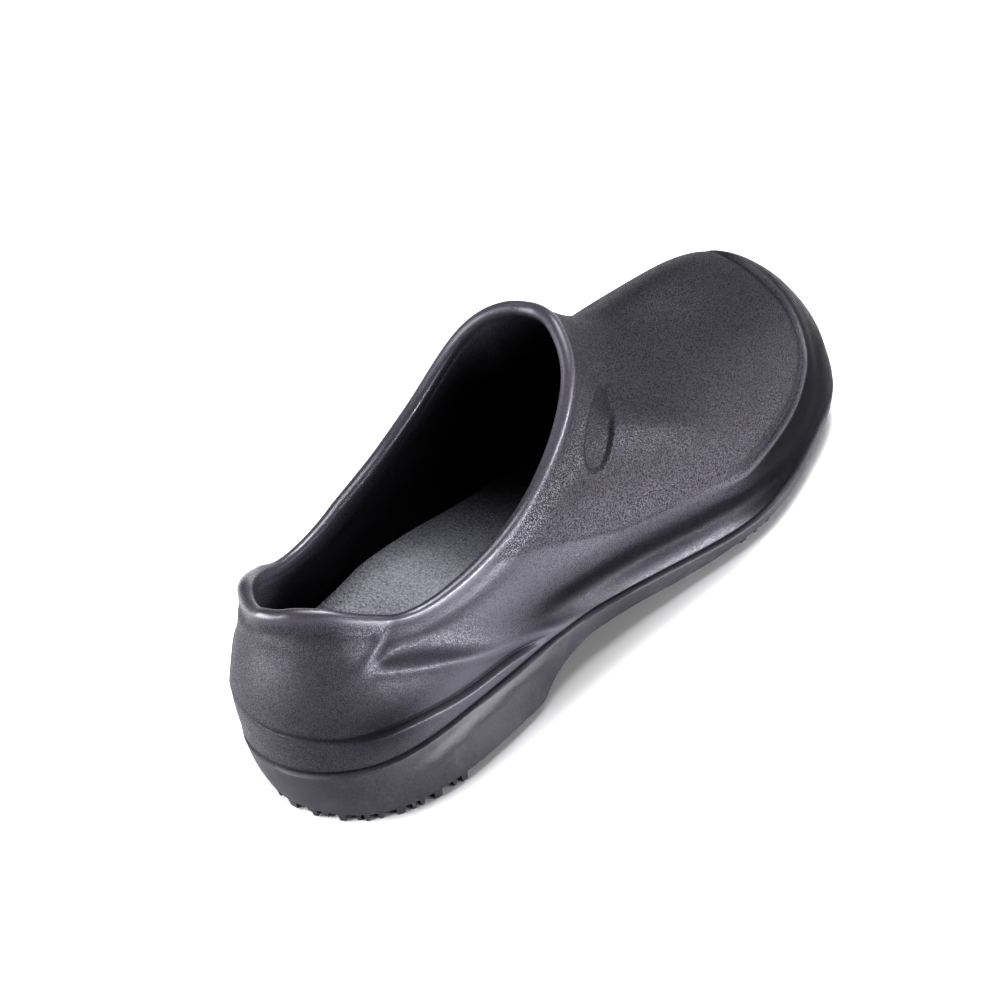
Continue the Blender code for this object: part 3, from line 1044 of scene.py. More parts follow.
    def heel_band(self, skin: Skin) -> Array:
        """Work out the heel band.

        A crease runs over the band. At the back the counter stands out above it, and along the sides
        it is tucked in, both less and less with e to minus the height over their run.

        Args:
            skin: the plain surface.

        Returns:
            The relief in millimetres, outward.
        """
        there = fade(self.band_end, skin.x) * smooth(self.band_foot, skin.up)
        turned = smooth(self.band_turn, skin.x)
        above = smooth(STEP, skin.band)
        over = np.maximum(skin.band, 0.0)
        lip = self.counter_lip[0] * (above * np.exp(-over / self.counter_lip[1]) - (1.0 - above))
        tuck = self.counter_tuck[0] * above * np.exp(-over / self.counter_tuck[1])
        side = hump(self.band_swell, skin.band) - tuck
        return there * ((1.0 - turned) * lip + turned * side + hump(self.band_crease, skin.band))

    def panel_shares(self, skin: Skin) -> tuple[Array, Array, Array]:
        """Work out the panels sunk into both sides between heel counter and vamp.

        A point's distance into the panel is the lesser of its height over the lower ridge and its
        place in front of the crease, rounded where they meet. Inside that outline the panel drops,
        steeply at first and then ever less, and it comes back out over the blend. The counter's edge
        stands up a little around it.

        Args:
            skin: the plain surface.

        Returns:
            The shares of the panel's depth, of the edge around it and of the slope inside the edge.
        """
        above = self.panel_slant * (skin.z - line_at(self.panel_ridge, skin.x))
        from_corner = np.stack([skin.x, skin.z], axis=-1) - np.asarray(self.panel_corner)
        inside = soft_least(above, from_corner @ np.asarray(self.panel_crease), self.panel_round)
        near_rim = self.panel_at_rim + (1.0 - self.panel_at_rim) * smooth(self.panel_rim, skin.fall)
        there = fade(self.panel_end, skin.x) * near_rim
        into = self.panel_edge * np.logaddexp(0.0, inside / self.panel_edge)
        slope = np.exp(-into / self.panel_slope)
        back = np.exp(-(np.maximum(inside - self.panel_flat, 0.0) / self.panel_blend) ** self.panel_power)
        edge = bell(inside, -self.panel_lip_width, self.panel_lip_width)
        return there * (1.0 - slope) * back, there * edge, there * slope * smooth(STEP, inside)

    def side_panel(self, skin: Skin) -> Array:
        """Return the sunk panels with the raised edge of the counter around them."""
        sunk, edge, _ = self.panel_shares(skin)
        return self.panel_depth * (self.panel_lip * edge - sunk)

    def over_moulding(self, skin: Skin) -> Array:
        """Return how far each point lies over the moulding line."""
        return skin.z - line_at(self.moulding_line, skin.x)

    def moulding(self, skin: Skin) -> Array:
        """Return the vamp's step over the moulding line, which fades out toward heel and toe."""
        step = window((STEP, self.moulding_run), self.over_moulding(skin))
        return self.moulding_step * window(self.moulding_reach, skin.x) * step

    def near_heel(self, skin: Skin) -> Array:
        """Return 1 at the back of the heel, fading to 0 along the sides of the collar."""
        return fade(self.heel_reach, skin.x)

    def collar_bead(self, skin: Skin) -> Array:
        """Work out the bead under the collar's lip and the groove below it, deepest at the heel.

        Args:
            skin: the plain surface.

        Returns:
            The relief in millimetres, outward.
        """
        groove = self.near_heel(skin) * window(self.groove_reach, skin.fall)
        lean = self.rim_lean * fade(self.back_reach, skin.x) * fade(self.rim_lean_run, skin.fall)
        return hump(self.bead, skin.fall) - self.groove_depth * groove - lean

    def leaf_field(self, skin: Skin) -> Array:
        """Return a field that is 0 in the leaf's middle, 1 on its outline and more outside.

        Along and across are measured in one flat plane that faces outward and up, as shares of the
        half sizes. The field is the length of the two together, and the leaf narrows upward.

        Args:
            skin: the plain surface.

        Returns:
            The field at each point.
        """
        away = skin.points - np.asarray(self.leaf_middle)
        along = away @ np.asarray(self.leaf_along) / self.leaf_half[0]
        across = away @ np.asarray(self.leaf_across) / self.leaf_half[1]
        field = np.hypot(along, across * (1.0 + self.leaf_narrowing * along))
        return np.where(skin.y * self.leaf_side.value > 0.0, field, self.leaf_outside)

    def leaf(self, skin: Skin) -> Array:
        """Return the leaf-shaped recess with its thin raised border."""
        field = self.leaf_field(skin)
        return hump(self.leaf_border, field) - self.leaf_depth * fade(self.leaf_wall, field)

    def foot_edge(self, skin: Skin) -> Array:
        """Return the rounding of the lower edge, a quarter of a parabola."""
        return -self.foot_tuck * round_over(skin.up, self.foot_round)

    def relief(self, skin: Skin) -> Array:
        """Return all that the mould adds to the plain surface, along the ways through its wall."""
        sides = (self.toe_bumper, self.flute, self.heel_band, self.side_panel, self.moulding)
        return sum(part(skin) for part in (*sides, self.collar_bead, self.leaf, self.foot_edge))

    def lining_rows(self) -> Array:
        """Choose the rows of the skin that the lining keeps.

        Returns:
            Their numbers, from the rim down.
        """
        last = self.band_rows + self.bumper_rows + self.vamp_rows
        dense = last - self.lining_top
        return np.concatenate([np.arange(last, dense, -1), np.arange(dense, -1, -self.lining_step)])

    def lip(self, outer: Array, inner: Array, rise: Array) -> Array:
        """Return the collar's lip, half an ellipse from the outer to the inner skin.

        Args:
            outer: the outer skin's last row.
            inner: the lining's first row.
            rise: unit vectors out of the wall's end.

        Returns:
            Columns by rows, without the two end rows.
        """
        turn = np.linspace(0.0, math.pi, self.lip_rows + 2)[1:-1, None]
        middle = 0.5 * (outer + inner)[:, None]
        half = 0.5 * (outer - inner)[:, None]
        height = np.linalg.norm(half, axis=2, keepdims=True)
        return middle + half * np.cos(turn) + rise[:, None] * height * np.sin(turn)

    def shell(self, skin: Skin) -> Array:
        """Work out the closed shell.

        The outer skin is the plain surface moved by the relief. The lining lies one wall inside it,
        with a thin raised line and a roll under the rim. The lip joins both.

        Args:
            skin: the plain surface.

        Returns:
            Columns by rows of points, up the outer skin, over the lip and down the lining.
        """
        ways = wall_ways(skin.points, skin.normals, skin.up)
        outer = skin.points + ways * self.relief(skin)[..., None]
        outer[:, 0, 2] += self.gap / 2.0
        share = self.lining_roll_least + (1.0 - self.lining_roll_least) * self.near_heel(skin)
        bead = hump(self.lining_line, skin.fall) + share * hump(self.lining_roll, skin.fall)
        inner = skin.points - ways * self.wall + skin.normals * bead[..., None]
        inner = inner[:, self.lining_rows()]
        inner[:, -1, 2] += self.gap / 2.0
        rise = skin.points[:, -1] - skin.points[:, -2]
        normal = skin.normals[:, -1]
        rise = unit(rise - normal * np.sum(rise * normal, axis=1, keepdims=True))
        lip = self.lip(outer[:, -1], inner[:, 0], rise)
        return np.concatenate([outer, lip, inner], axis=1)

    def zones(self, skin: Skin) -> dict[str, Array]:
        """Work out the shares of the skin that the paints are mixed from.

        Args:
            skin: the plain surface.

        Returns:
            The share of each zone at each point, by the zone's name.
        """
        over = self.over_moulding(skin)
        toe = smooth(self.toe_zone, skin.x)
        bumper = toe * fade(self.bumper_zone, skin.bumper)
        behind = np.maximum(skin.bumper - self.trough_flat, 0.0)
        heel = fade(self.heel_zone, skin.x)
        side = fade(self.side_end, skin.x) * fade(self.side_over, over)
        quarter = side * (1.0 - heel)
        hollow = self.flute_hollow(skin)
        sunk, edge, slope = self.panel_shares(skin)
        arm, counter = (
            bell(skin.x, *spot[0]) * bell(skin.z, *spot[1]) for spot in (self.arm_spot, self.counter_spot)
        )
        return {
            "bumper": bumper,
            "ridge": toe * bell(skin.bumper, *self.ridge_zone),
            "trough": toe * smooth(self.trough_start, skin.bumper) * bell(behind, *self.trough_zone),
            "heel": heel,
            "back": fade(self.back_zone, skin.x),
            "side": side,
            "quarter": quarter,
            # painted sheen on the quarter, away from the flute and the bumper
            "wear_and_sheen": quarter * (1.0 - hollow) * (1.0 - bumper),
            "flange": fade(self.flange_zone, skin.up) * (1.0 - heel),
            "vamp": smooth(self.vamp_over, over) * (1.0 - heel),
            "line": smooth(self.moulding_reach[0], skin.x) * bell(over, *self.line_zone),
            "hollow": hollow,
            "leaf": fade(self.leaf_zone, self.leaf_field(skin)),
            "sunk": sunk,
            "edge": edge,
            "slope": slope,
            "crease": fade(self.band_end, skin.x) * bell(skin.band, *self.crease_zone),
            "seam": bell(skin.up, *self.seam_zone),
            "rim": bell(skin.fall, *self.rim_zone),
            "groove": self.near_heel(skin) * bell(skin.fall, *self.groove_zone),
            "arm": arm,
            "counter": counter,
        }

    def over_shell(self, skin: Array, lip: Any, lining: Any) -> Array:
        """Join the values of a paint in the order of the shell's rows.

        Args:
            skin: values on the outer skin.
            lip: values on the lip, or one for all of it.
            lining: values on the lining, or one for all of it.

        Returns:
            Columns by rows of values.
        """
        columns = len(skin)
        lip = np.broadcast_to(lip, (columns, self.lip_rows))
        lining = np.broadcast_to(lining, (columns, len(self.lining_rows())))
        return np.concatenate([skin, lip, lining], axis=1)

    def build(self) -> bpy.types.Object:
        """Make the shell and paint its grain, its painted highlight with gloss, its painted light and
        shade, and its painted shade.

        Returns:
            The finished piece without its material.
        """
        skin = self.skin()
        shell = self.shell(skin)
        columns, rows = shell.shape[:2]
        piece = new_piece("clog_upper", shell.reshape(-1, 3), tube_quads(columns, rows, True).tolist())
        zones = self.zones(skin)
        grain = np.maximum(1.0 + mix(zones, self.grain_mix), self.grain_least)
        painted_shade = np.max([weight * zones[name] for name, weight in self.painted_shade_mix], axis=0)
        # painted highlight along the collar's lip, less toward the front, and painted light on the lining
        # near the rim, most at the heel
        lip = self.highlight_lip - self.highlight_lip_less * smooth(self.highlight_lip_span, skin.x[:, -1:])
        lining = hump(self.lining_light, skin.fall) + self.lining_light_heel * self.near_heel(skin)
        lining = lining[:, self.lining_rows()]
        # Paints: painted light and shade, painted shade, the grain, and the painted highlight with gloss
        paint(piece, "light_and_shade", self.over_shell(1.0 + mix(zones, self.light_and_shade_mix), 1.0, 1.0))
        paint(piece, "painted_shade", self.over_shell(painted_shade, 0.0, 0.0))
        paint(piece, "grain", self.over_shell(grain, self.grain_inside, self.grain_inside))
        paint(piece, "rub", self.over_shell(mix(zones, self.highlight_and_gloss_mix), lip, lining))
        return piece


@dataclass
class Slab:
    """A closed body of stacked loops, with a cap of cross rows at its bottom and its top."""

    name: str
    loops: Array
    steps: int

    def caps(self, first: int, ring: Array, numbers: Array, upward: bool) -> tuple[Array, list[Any]]:
        """Close one loop with rows that run from its outer to its inner side.

        Args:
            first: number of the first new point.
            ring: the loop's points.
            numbers: the numbers of those points.
            upward: whether the cap faces up.

        Returns:
            The new points as rows by steps by values, and the faces.
        """
        columns = len(ring)
        half = columns // 2
        outer = np.arange(1, half)
        share = (np.arange(1, self.steps) / self.steps)[None, :, None]
        points = ring[outer][:, None] * (1.0 - share) + ring[columns - outer][:, None] * share
        inner = first + np.arange((half - 1) * (self.steps - 1)).reshape(half - 1, self.steps - 1)
        lines = np.concatenate([numbers[outer][:, None], inner, numbers[columns - outer][:, None]], axis=1)
        near = np.full((1, self.steps + 1), numbers[0])
        far = np.full((1, self.steps + 1), numbers[half])
        lines = np.concatenate([near, lines, far])
        quads = np.stack([lines[:-1, :-1], lines[1:, :-1], lines[1:, 1:], lines[:-1, 1:]], axis=-1)
        if not upward:
            quads = quads[..., ::-1]
        heel = quads[0][:, [1, 2, 3]] if upward else quads[0][:, [0, 1, 2]]
        toe = quads[-1][:, [0, 1, 3]] if upward else quads[-1][:, [0, 2, 3]]
        return points, [*quads[1:-1].reshape(-1, 4).tolist(), *heel.tolist(), *toe.tolist()]

    def build(self, floor: Callable[[Array], Array], roof: Callable[[Array], Array]) -> bpy.types.Object:
        """Make the body.

        Args:
            floor: gives the height of the bottom cap's points.
            roof: gives the height of the top cap's points.

        Returns:
            The new object.
        """
        columns, rows = self.loops.shape[:2]
        numbers = np.arange(columns) * rows
        wall = self.loops.reshape(-1, 3)
        low, low_faces = self.caps(len(wall), self.loops[:, 0], numbers, False)
        low[..., 2] = floor(low)
        first = len(wall) + low.shape[0] * low.shape[1]
        high, high_faces = self.caps(first, self.loops[:, -1], numbers + rows - 1, True)
        high[..., 2] = roof(high)
        points = np.concatenate([wall, low.reshape(-1, 3), high.reshape(-1, 3)])
        faces = tube_quads(columns, rows, False).tolist() + low_faces + high_faces
        return new_piece(self.name, points, faces)


SOLE_SPANS = (16, 20, 16, 16, 16, 14, 14, 14, 14, 14, 14, 14, 14, 16, 16, 16, 20, 16)


def loop_sides(loop: Array) -> tuple[Array, Array]:
    """Return the outer and the inner half of a loop, both from heel to toe."""
    half = len(loop) // 2
    return loop[:half + 1], np.concatenate([loop[:1], loop[:half - 1:-1]])


def level_across(edge: Array) -> tuple[Array, Array]:
    """Work out the mean height of a loop's outer and inner side.

    Args:
        edge: the loop's points.

    Returns:
        Values of X from end to end, and the mean height at each of them.
    """
    samples = 60
    along = np.linspace(edge[:, 0].min(), edge[:, 0].max(), samples)
    outer, inner = (np.interp(along, side[:, 0], side[:, 2]) for side in loop_sides(edge))
    return along, 0.5 * (outer + inner)


@dataclass
class Outsole(Part):
    """The rubber outsole: a wall with a rounded shoulder and a step, a flat foot and its tread."""

    swell: float = 0.8
    chamfer: float = 1.2
    chamfer_tuck: float = 0.8
    shoulder: float = 1.2
    shoulder_tuck: float = 1.8
    wall_rows: int = 22
    row_gather: float = 0.09
    cap_steps: int = 12
    sharp_angle: float = 32.0
    # Underside above the floor: percent of length and millimetres
    underside_rows: Table = (
        (0.0, 4.2), (4.0, 3.2), (29.5, 3.2), (32.2, 7.4), (35.6, 9.6), (40.0, 10.0), (47.0, 7.6),
        (54.6, 4.2), (59.6, 3.2), (77.8, 3.2), (87.0, 5.2), (94.0, 8.8), (100.0, 13.0),
    )
    # Rows of lugs: percent of length, lugs across, share of the width, size along and across
    lug_rows: Table = (
        (4.6, 2, 0.74, 8.5, 12.0), (8.8, 3, 0.80, 8.5, 13.0), (13.2, 3, 0.84, 8.5, 15.0),
        (17.6, 3, 0.87, 8.5, 16.0), (22.0, 3, 0.88, 8.5, 16.0), (26.4, 3, 0.88, 8.5, 16.0),
        (58.6, 3, 0.88, 8.5, 18.0), (63.0, 4, 0.90, 8.5, 16.0), (67.4, 4, 0.90, 8.5, 17.0),
        (71.8, 4, 0.90, 8.5, 17.0), (76.2, 4, 0.90, 8.5, 16.0), (80.6, 4, 0.88, 8.5, 15.0),
        (85.0, 4, 0.86, 8.5, 14.0), (89.4, 3, 0.82, 8.5, 15.0), (93.4, 2, 0.72, 7.0, 16.0),
    )
    lug_depth: float = 3.2
    lug_root: float = 1.5
    lug_draft: float = 0.5
    lug_bevel: Span = (0.7, 0.45)
    lug_wide: float = 13.5
    sipe: float = 1.5
    # Teeth along the sole's edge: first and last station, how many, and how far in their middles are
    edge_teeth: Table = ((-1.75, 1.75, 25, 3.0), (5.7, 12.4, 50, 4.2))
    tooth_size: Span = (3.6, 4.6)
    tooth_gap: float = 0.7
    tooth_room: float = 5.6
    # Waves that make the teeth uneven, as height and pace: in place, in inset, and two in width
    tooth_place: Span = (0.28, 1.7)
    tooth_inset: Span = (0.6, 3.3)
    tooth_widths: Table = ((0.28, 2.4), (0.16, 5.1))
    # Step along the sides of the heel, as X and Z, and where it starts, ends and runs out upward
    step_line: Table = (
        (-126.0, 11.5), (-114.0, 14.6), (-99.0, 17.0), (-84.0, 18.4), (-68.0, 18.8), (-55.0, 16.9),
        (-40.0, 14.0),
    )
    step_reach: Window = ((-128.0, -108.0), (-60.0, -40.0))
    step_run: Span = (1.0, 6.0)
    step_height: float = 0.8
    # Thin flash under the shoulder at the back of the heel, and its ends along X and Y
    flash: Hump = (0.3, 1.7, 0.5)
    flash_end: Span = (-136.0, -126.0)
    flash_side: Span = (-2.0, 10.0)

    def underside(self, x: Array) -> Array:
        """Return the height of the sole's foot above the floor."""
        rows = np.asarray(self.underside_rows)
        return np.interp(x, self.last.along(rows[:, 0]), rows[:, 1])

    def foot(self, stations: Array) -> Array:
        """Work out the loop at the foot of the wall.

        Args:
            stations: station numbers with fractions.

        Returns:
            One point for each of stations.
        """
        edge = self.last.edge(stations)
        foot = edge - plan_normals(edge) * self.last.taper(stations)[:, None]
        foot[:, 2] = self.underside(foot[:, 0])
        return foot

    def wall(self, stations: Array) -> Array:
        """Work out the wall from its foot to its shoulder.

        A point is on the straight line from foot to edge, moved out by a half wave of the swell and
        by the step, and in by the squares of its shares of the chamfer and of the shoulder. Rows are
        gathered at foot and edge by a sine wave.

        Args:
            stations: station numbers with fractions.

        Returns:
            Columns by rows of points.
        """
        top = self.last.edge(stations)
        normal = plan_normals(top)[:, None]
        top[:, 2] -= self.gap / 2.0
        foot = self.foot(stations)
        even = np.linspace(0.0, 1.0, self.wall_rows)
        share = (even - wave((self.row_gather, 2.0 * math.pi), even))[None, :, None]
        points = foot[:, None] * (1.0 - share) + top[:, None] * share
        x, y, z = np.moveaxis(points, -1, 0)
        depth = top[:, None, 2] - z
        out = wave((self.swell, math.pi), share[..., 0])
        out = out - self.chamfer_tuck * round_over(z - foot[:, None, 2], self.chamfer)
        out = out - self.shoulder_tuck * round_over(depth, self.shoulder)
        over = z - line_at(self.step_line, x)
        out += self.step_height * window((STEP, self.step_run), over) * window(self.step_reach, x)
        out += hump(self.flash, depth) * fade(self.flash_end, x) * fade(self.flash_side, y)
        return points + normal * out[..., None]

    def lugs(self, foot: Array) -> tuple[Array, Array, Array]:
        """Lay out the lugs: each is cut by sipes into two blocks along and two or three across.

        Args:
            foot: the loop at the foot of the wall.

        Returns:
            The blocks' middles, sizes and ways along, as rows of X and Y.
        """
        middles = []
        sizes = []
        for percent, count, spread, size_x, size_y in self.lug_rows:
            x = self.last.along(percent)
            right, left = (np.interp(x, side[:, 0], side[:, 1]) for side in loop_sides(foot))
            room = (left - right) * spread - size_y
            across = 3 if size_y > self.lug_wide else 2
            block = np.array(((size_x - self.sipe) / 2.0, (size_y - (across - 1) * self.sipe) / across))
            step_x = (np.arange(2) - 0.5) * (block[0] + self.sipe)
            step_y = (np.arange(across) - (across - 1) / 2.0) * (block[1] + self.sipe)
            lug_y = 0.5 * (left + right) + room * np.linspace(-0.5, 0.5, int(count))
            rows = (lug_y[:, None] + step_y).ravel()
            grid = np.stack(np.meshgrid(x + step_x, rows, indexing="ij"), axis=-1)
            middles.append(grid.reshape(-1, 2))
            sizes.append(np.broadcast_to(block, middles[-1].shape))
        middle = np.concatenate(middles)
        return middle, np.concatenate(sizes), np.broadcast_to((1.0, 0.0), middle.shape)

    def teeth(self, stations: Array) -> tuple[Array, Array, Array]:
        """Lay out the small teeth that follow the sole's edge, of uneven widths.

        Each tooth is narrower than the way to its nearer neighbour by at least the gap.

        Args:
            stations: station numbers that the sole's edge is read at.

        Returns:
            The teeth's middles, sizes and ways along the edge, as rows of X and Y.
        """
        foot = self.foot(stations)
        normals = plan_normals(self.last.edge(stations))
        turn = len(self.last.sections)
        layouts = []
        for first, last, count, inset in self.edge_teeth:
            number = np.arange(int(count))
            uneven = number + wave(self.tooth_place, number)
            spots = (first + (last - first) * uneven / (count - 1.0)) % turn
            columns = (foot[:, 0], foot[:, 1], normals[:, 0], normals[:, 1])
            at = np.stack([np.interp(spots, stations, column, period=turn) for column in columns], axis=1)
            normal = at[:, 2:]
            middle = at[:, :2] - normal * (inset + wave(self.tooth_inset, number))[:, None]
            wide = self.tooth_size[0] * (1.0 + sum(wave(shape, number) for shape in self.tooth_widths))
            away = np.linalg.norm(np.diff(middle, axis=0), axis=1)
            nearer = np.minimum(np.append(away, np.inf), np.append(np.inf, away))
            wide = np.minimum(wide, nearer - self.tooth_gap)
            size = np.stack([wide, np.full_like(wide, self.tooth_size[1])], axis=1)
            layouts.append((middle, size, np.stack([-normal[:, 1], normal[:, 0]], axis=1)))
        middles, sizes, ways = (np.concatenate(rows) for rows in zip(*layouts))
        return middles, sizes, ways

    def blocks(self, middle: Array, size: Array, way: Array) -> tuple[Array, list[Any]]:
        """Make the blocks of the tread, each a frustum with a small bevel around its tip.

        Args:
            middle: their middles.
            size: their sizes along and across.
            way: the unit way along each.

        Returns:
            Corner points and faces.
        """
        corners = np.array(((-0.5, -0.5), (0.5, -0.5), (0.5, 0.5), (-0.5, 0.5)))[None]
        side = np.stack([-way[:, 1], way[:, 0]], axis=1)
        draft = self.lug_draft * 2.0
        tip = (draft + self.lug_bevel[0], -self.lug_depth)
        bevel = (draft, self.lug_bevel[1] - self.lug_depth)
        rings = []
        for shrink, drop in (tip, bevel, (0.0, self.lug_root)):
            reach = corners * (size[:, None] - shrink)
            plan = middle[:, None] + reach[..., :1] * way[:, None] + reach[..., 1:] * side[:, None]
            rings.append(np.concatenate([plan, (self.underside(plan[..., 0]) + drop)[..., None]], axis=2))
        points = np.concatenate(rings, axis=1)
        walls = [(r + k, r + (k + 1) % 4, r + 4 + (k + 1) % 4, r + 4 + k) for r in (0, 4) for k in range(4)]
        faces = np.array([(3, 2, 1, 0), (8, 9, 10, 11), *walls])
        first = np.arange(len(points))[:, None, None] * points.shape[1]
        return points.reshape(-1, 3), (faces[None] + first).reshape(-1, 4).tolist()

    def build(self) -> bpy.types.Object:
        """Make the body and join the tread to it.

        Lug blocks that lie too near a tooth are left out.

        Returns:
            The finished piece without its material.
        """
        stations = spread_stations(SOLE_SPANS)
        along, height = level_across(self.last.edge(stations))
        slab = Slab("clog_outsole", self.wall(stations), self.cap_steps)
        piece = slab.build(
            lambda points: self.underside(points[..., 0]),
            lambda points: np.interp(points[..., 0], along, height - self.gap / 2.0),
        )
        lugs = self.lugs(self.foot(stations))
        teeth = self.teeth(stations)
        away = np.linalg.norm(lugs[0][:, None] - teeth[0][None], axis=2).min(axis=1)
        layouts = [np.concatenate([lug[away > self.tooth_room], tooth]) for lug, tooth in zip(lugs, teeth)]
        tread = new_piece("tread", *self.blocks(*layouts))
        join = piece.modifiers.new("tread", "BOOLEAN")
        join.operation = "UNION"
        join.solver = "MANIFOLD"
        join.object = tread
        graph = bpy.context.evaluated_depsgraph_get()
        whole = bpy.data.meshes.new_from_object(piece.evaluated_get(graph))
        piece.modifiers.clear()
        piece.data = whole
        whole.name = piece.name
        bpy.data.objects.remove(tread, do_unlink=True)
        whole.shade_smooth()
        whole.set_sharp_from_angle(angle=math.radians(self.sharp_angle))
        return piece


@dataclass
class Insole(Part):
    """The loose footbed: its side follows the lining and its top is cupped, with a border line."""

    wall: float = Upper.wall
    inset: float = 0.5
    cup: float = 2.5
    heel_cup: float = 2.7
    heel_cup_span: Span = (-120.0, 80.0)
    tilt_cup: float = 0.25
    border: Hump = (0.5, 6.0, 0.9)
    edge_round: float = 1.4
    side_rows: int = 14
    cap_steps: int = 44
    # The cap's rows end one step short of the rim, so its width is a little more than they span
    rim_allowance: float = 1.05
    # Top of its side around the shoe, as station and level of the wall, drawn up along the inner arch
    rim_level: Table = (
        (0.0, 1.85), (1.0, 1.64), (2.0, 1.7), (3.0, 1.4), (4.0, 1.2), (5.0, 1.12), (6.0, 1.0), (9.0, 1.0),
        (12.2, 1.0), (13.4, 1.5), (14.4, 1.8), (15.4, 2.05), (16.4, 2.2), (17.3, 2.0),
    )

    def side(self, stations: Array) -> Array:
        """Work out the side from the sole's edge up along the lining, rounded over at the top.

        Args:
            stations: station numbers with fractions.

        Returns:
            Columns by rows of points.
        """
        top = self.last.marked(self.rim_level, stations)[:, None]
        share = np.linspace(0.0, 1.0, self.side_rows)[None]
        points = self.last.wall(stations).at(share * top)
        ways = wall_ways(points, grid_normals(points), points[..., 2] - points[:, :1, 2])
        loops = points - ways * (self.wall + self.inset)
        loops[..., 2] += self.gap / 2.0 * (1.0 - share)
        back = self.edge_round * round_over(loops[:, -1:, 2] - loops[..., 2], self.edge_round)
        return loops - plan_normals(points[:, 0])[:, None] * back[..., None]

    def bed(self, points: Array) -> Array:
        """Work out the top: straight across between the rims, less the cup and the border line.

        The cup is half a sine wave across, deeper at the heel and where one rim is higher.

        Args:
            points: the cap's points as rows by steps by values.

        Returns:
            The height of each point.
        """
        share = (np.arange(1, self.cap_steps) / self.cap_steps)[None]
        width = np.linalg.norm(points[:, -1] - points[:, 0], axis=-1, keepdims=True) * self.rim_allowance
        in_from_rim = np.minimum(share, 1.0 - share) * width
        tilt = np.abs(points[:, -1:, 2] - points[:, :1, 2])
        cup = self.cup + self.heel_cup * fade(self.heel_cup_span, points[:, :1, 0]) + self.tilt_cup * tilt
        return points[..., 2] - cup * np.sin(math.pi * share) - hump(self.border, in_from_rim)

    def build(self) -> bpy.types.Object:
        """Make the footbed.

        Returns:
            The finished piece without its material.
        """
        stations = spread_stations(SOLE_SPANS)
        along, height = level_across(self.last.edge(stations))
        slab = Slab("clog_insole", self.side(stations), self.cap_steps)
        return slab.build(
            lambda points: np.interp(points[..., 0], along, height) + self.gap / 2.0,
            self.bed,
        )


@dataclass(frozen=True)
class SoftBox:
    """A soft light: where it stands and what it looks at in metres, its sizes and its power."""

    name: str
    place: Row
    wide: float
    tall: float
    watts: float
    aim: Row = (0.0, 0.0, 0.04)

    def light(self) -> None:
        """Add the light to the scene."""
        lamp = bpy.data.lights.new(self.name, "AREA")
        lamp.shape = "RECTANGLE"
        lamp.size = self.wide
        lamp.size_y = self.tall
        lamp.energy = self.watts
        thing = bpy.data.objects.new(self.name, lamp)
        thing.location = self.place
        thing.rotation_euler = (Vector(self.aim) - Vector(self.place)).to_track_quat("-Z", "Y").to_euler()
        bpy.context.scene.collection.objects.link(thing)


@dataclass(frozen=True)
class PhotoView:
    """The camera: where it looks from, in degrees and millimetres, and its focal length in pixels."""

    target: Row = (-3.0, 1.1, 50.0)
    azimuth: float = -40.84
    elevation: float = 35.93
    roll: float = -14.68
    distance: float = 1113.1
    slide: Span = (10.8, 9.35)
    focal: float = 3144.7
    image: float = 1000.0
    sensor: float = 36.0
    # Nearest and furthest that it sees, in metres
    clip: Span = (0.05, 20.0)

    def place(self) -> None:
        """Add the camera and make it the scene's.

        Back points from the target to the camera. Right and up are square to it, turned by the roll,
        and the camera slides along both to put the shoe where the picture has it.
        """
        turn = math.radians(self.azimuth)
        rise = math.radians(self.elevation)
        back = Vector((math.sin(turn) * math.cos(rise), -math.cos(turn) * math.cos(rise), math.sin(rise)))
        level = Vector((0.0, 0.0, 1.0)).cross(back).normalized()
        upright = back.cross(level)
        roll = math.radians(self.roll)
        right = level * math.cos(roll) + upright * math.sin(roll)
        up = upright * math.cos(roll) - level * math.sin(roll)
        spot = Vector(self.target) + back * self.distance - right * self.slide[0] - up * self.slide[1]
        eye = bpy.data.cameras.new("camera")
        eye.lens = self.focal / self.image * self.sensor
        eye.sensor_width = self.sensor
        eye.clip_start, eye.clip_end = self.clip
        thing = bpy.data.objects.new("camera", eye)
        axes = Matrix((right, up, back)).transposed().to_4x4()
        thing.matrix_world = Matrix.Translation(spot * METRES) @ axes
        bpy.context.scene.collection.objects.link(thing)
        bpy.context.scene.camera = thing


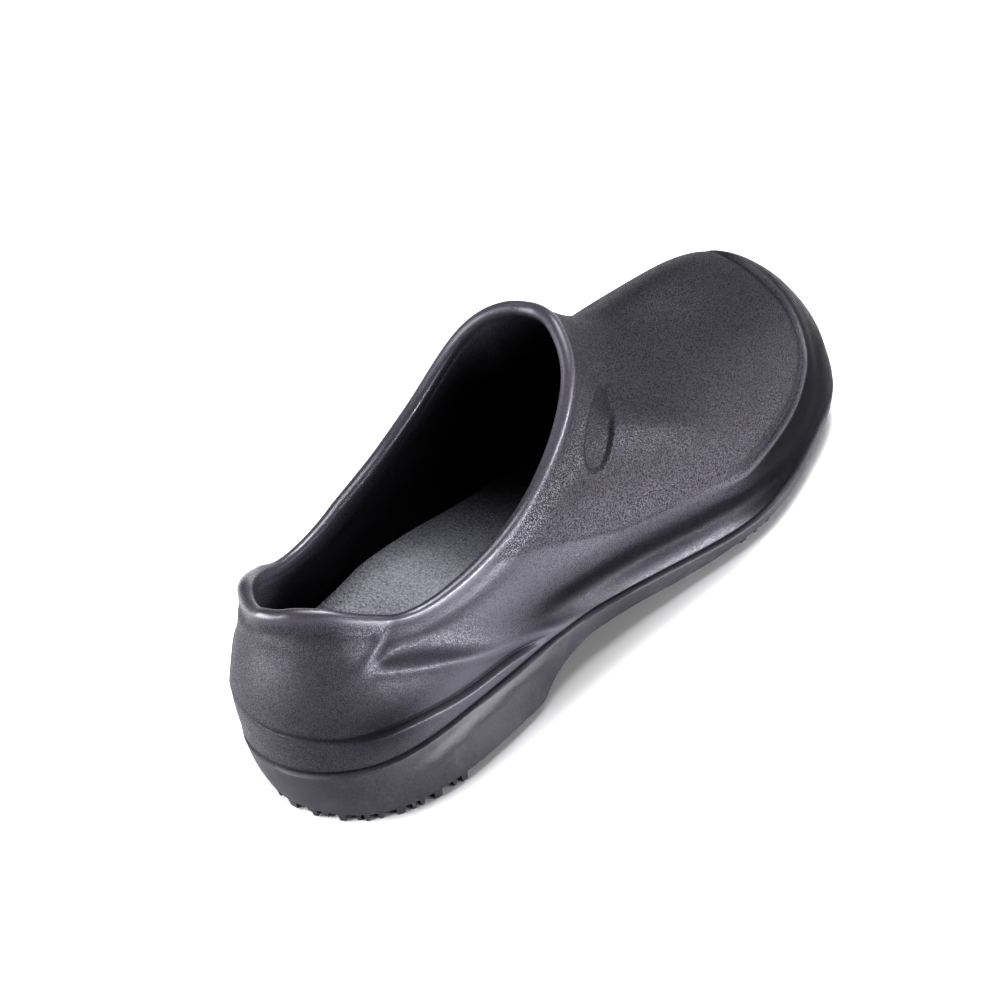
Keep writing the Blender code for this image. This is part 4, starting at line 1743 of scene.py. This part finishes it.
@dataclass
class Studio:
    """Floor, sky, soft lights and camera."""

    view: PhotoView
    boxes: tuple[SoftBox, ...]
    floor_finish: Finish
    floor_half: float = 1.15
    floor_cells: int = 8
    # Brightness of the sky, by the upward part of the way to it
    sky: Table = ((0.0, 0.9), (0.08, 0.9), (0.3, 0.1))
    transform: str = "Standard"
    look: str = "Very High Contrast"

    def floor(self) -> None:
        """Lay the pale floor as one square grid."""
        count = self.floor_cells + 1
        side = np.linspace(-self.floor_half, self.floor_half, count) / METRES
        x, y = np.meshgrid(side, side, indexing="ij")
        points = np.stack([x, y, np.zeros_like(x)], axis=-1).reshape(-1, 3)
        cells = np.arange(self.floor_cells)
        first = (cells[:, None] * count + cells[None]).ravel()
        faces = np.stack([first, first + count, first + count + 1, first + 1], axis=1).tolist()
        board = new_piece("studio_floor", points, faces)
        board.data.materials.append(self.floor_finish.material())

    def build(self) -> None:
        """Set up everything around the shoe."""
        self.floor()
        desk = Desk(bpy.data.worlds.new("studio_sky"), "Background")
        way = desk.add("ShaderNodeTexCoord", {}, {}, "Generated")
        height = desk.add("ShaderNodeSeparateXYZ", {}, {0: way}, "Z")
        desk.set(Color=desk.ramp(height, *self.sky), Strength=1.0)
        bpy.context.scene.world = desk.owner
        for box in self.boxes:
            box.light()
        self.view.place()
        bpy.context.scene.view_settings.view_transform = self.transform
        bpy.context.scene.view_settings.look = self.look


BOXES = (
    SoftBox("side", (0.18, -1.18, 0.13), 1.1, 0.22, 35.5),
    SoftBox("heel", (-1.0, 0.62, 0.5), 1.1, 1.0, 33.0),
    SoftBox("over", (0.42, -0.02, 1.15), 0.7, 0.8, 11.4),
    SoftBox("rim", (0.69, 0.12, 1.09), 0.3, 0.3, 6.0),
)


def main() -> None:
    """Build the shoe piece by piece, tie each piece to the frame and set up the studio."""
    logging.basicConfig(level=logging.INFO, format="%(message)s")
    last = Last()
    makers: tuple[tuple[Node, Part], ...] = (
        (Node.UPPER, Upper(last, MouldedFoam())),
        (Node.OUTSOLE, Outsole(last, SoleRubber())),
        (Node.INSOLE, Insole(last, FootbedFoam())),
    )
    LOG.info("frame holds %s", ", ".join(sorted(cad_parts)))
    for node, maker in makers:
        piece = maker.build()
        maker.dress(piece)
        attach(piece, BODY)
        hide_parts(node.value)
        LOG.info("%s: %d points, %d faces", piece.name, len(piece.data.vertices), len(piece.data.polygons))
    Studio(PhotoView(), BOXES, StudioFloor()).build()


if __name__ == "__main__":
    main()
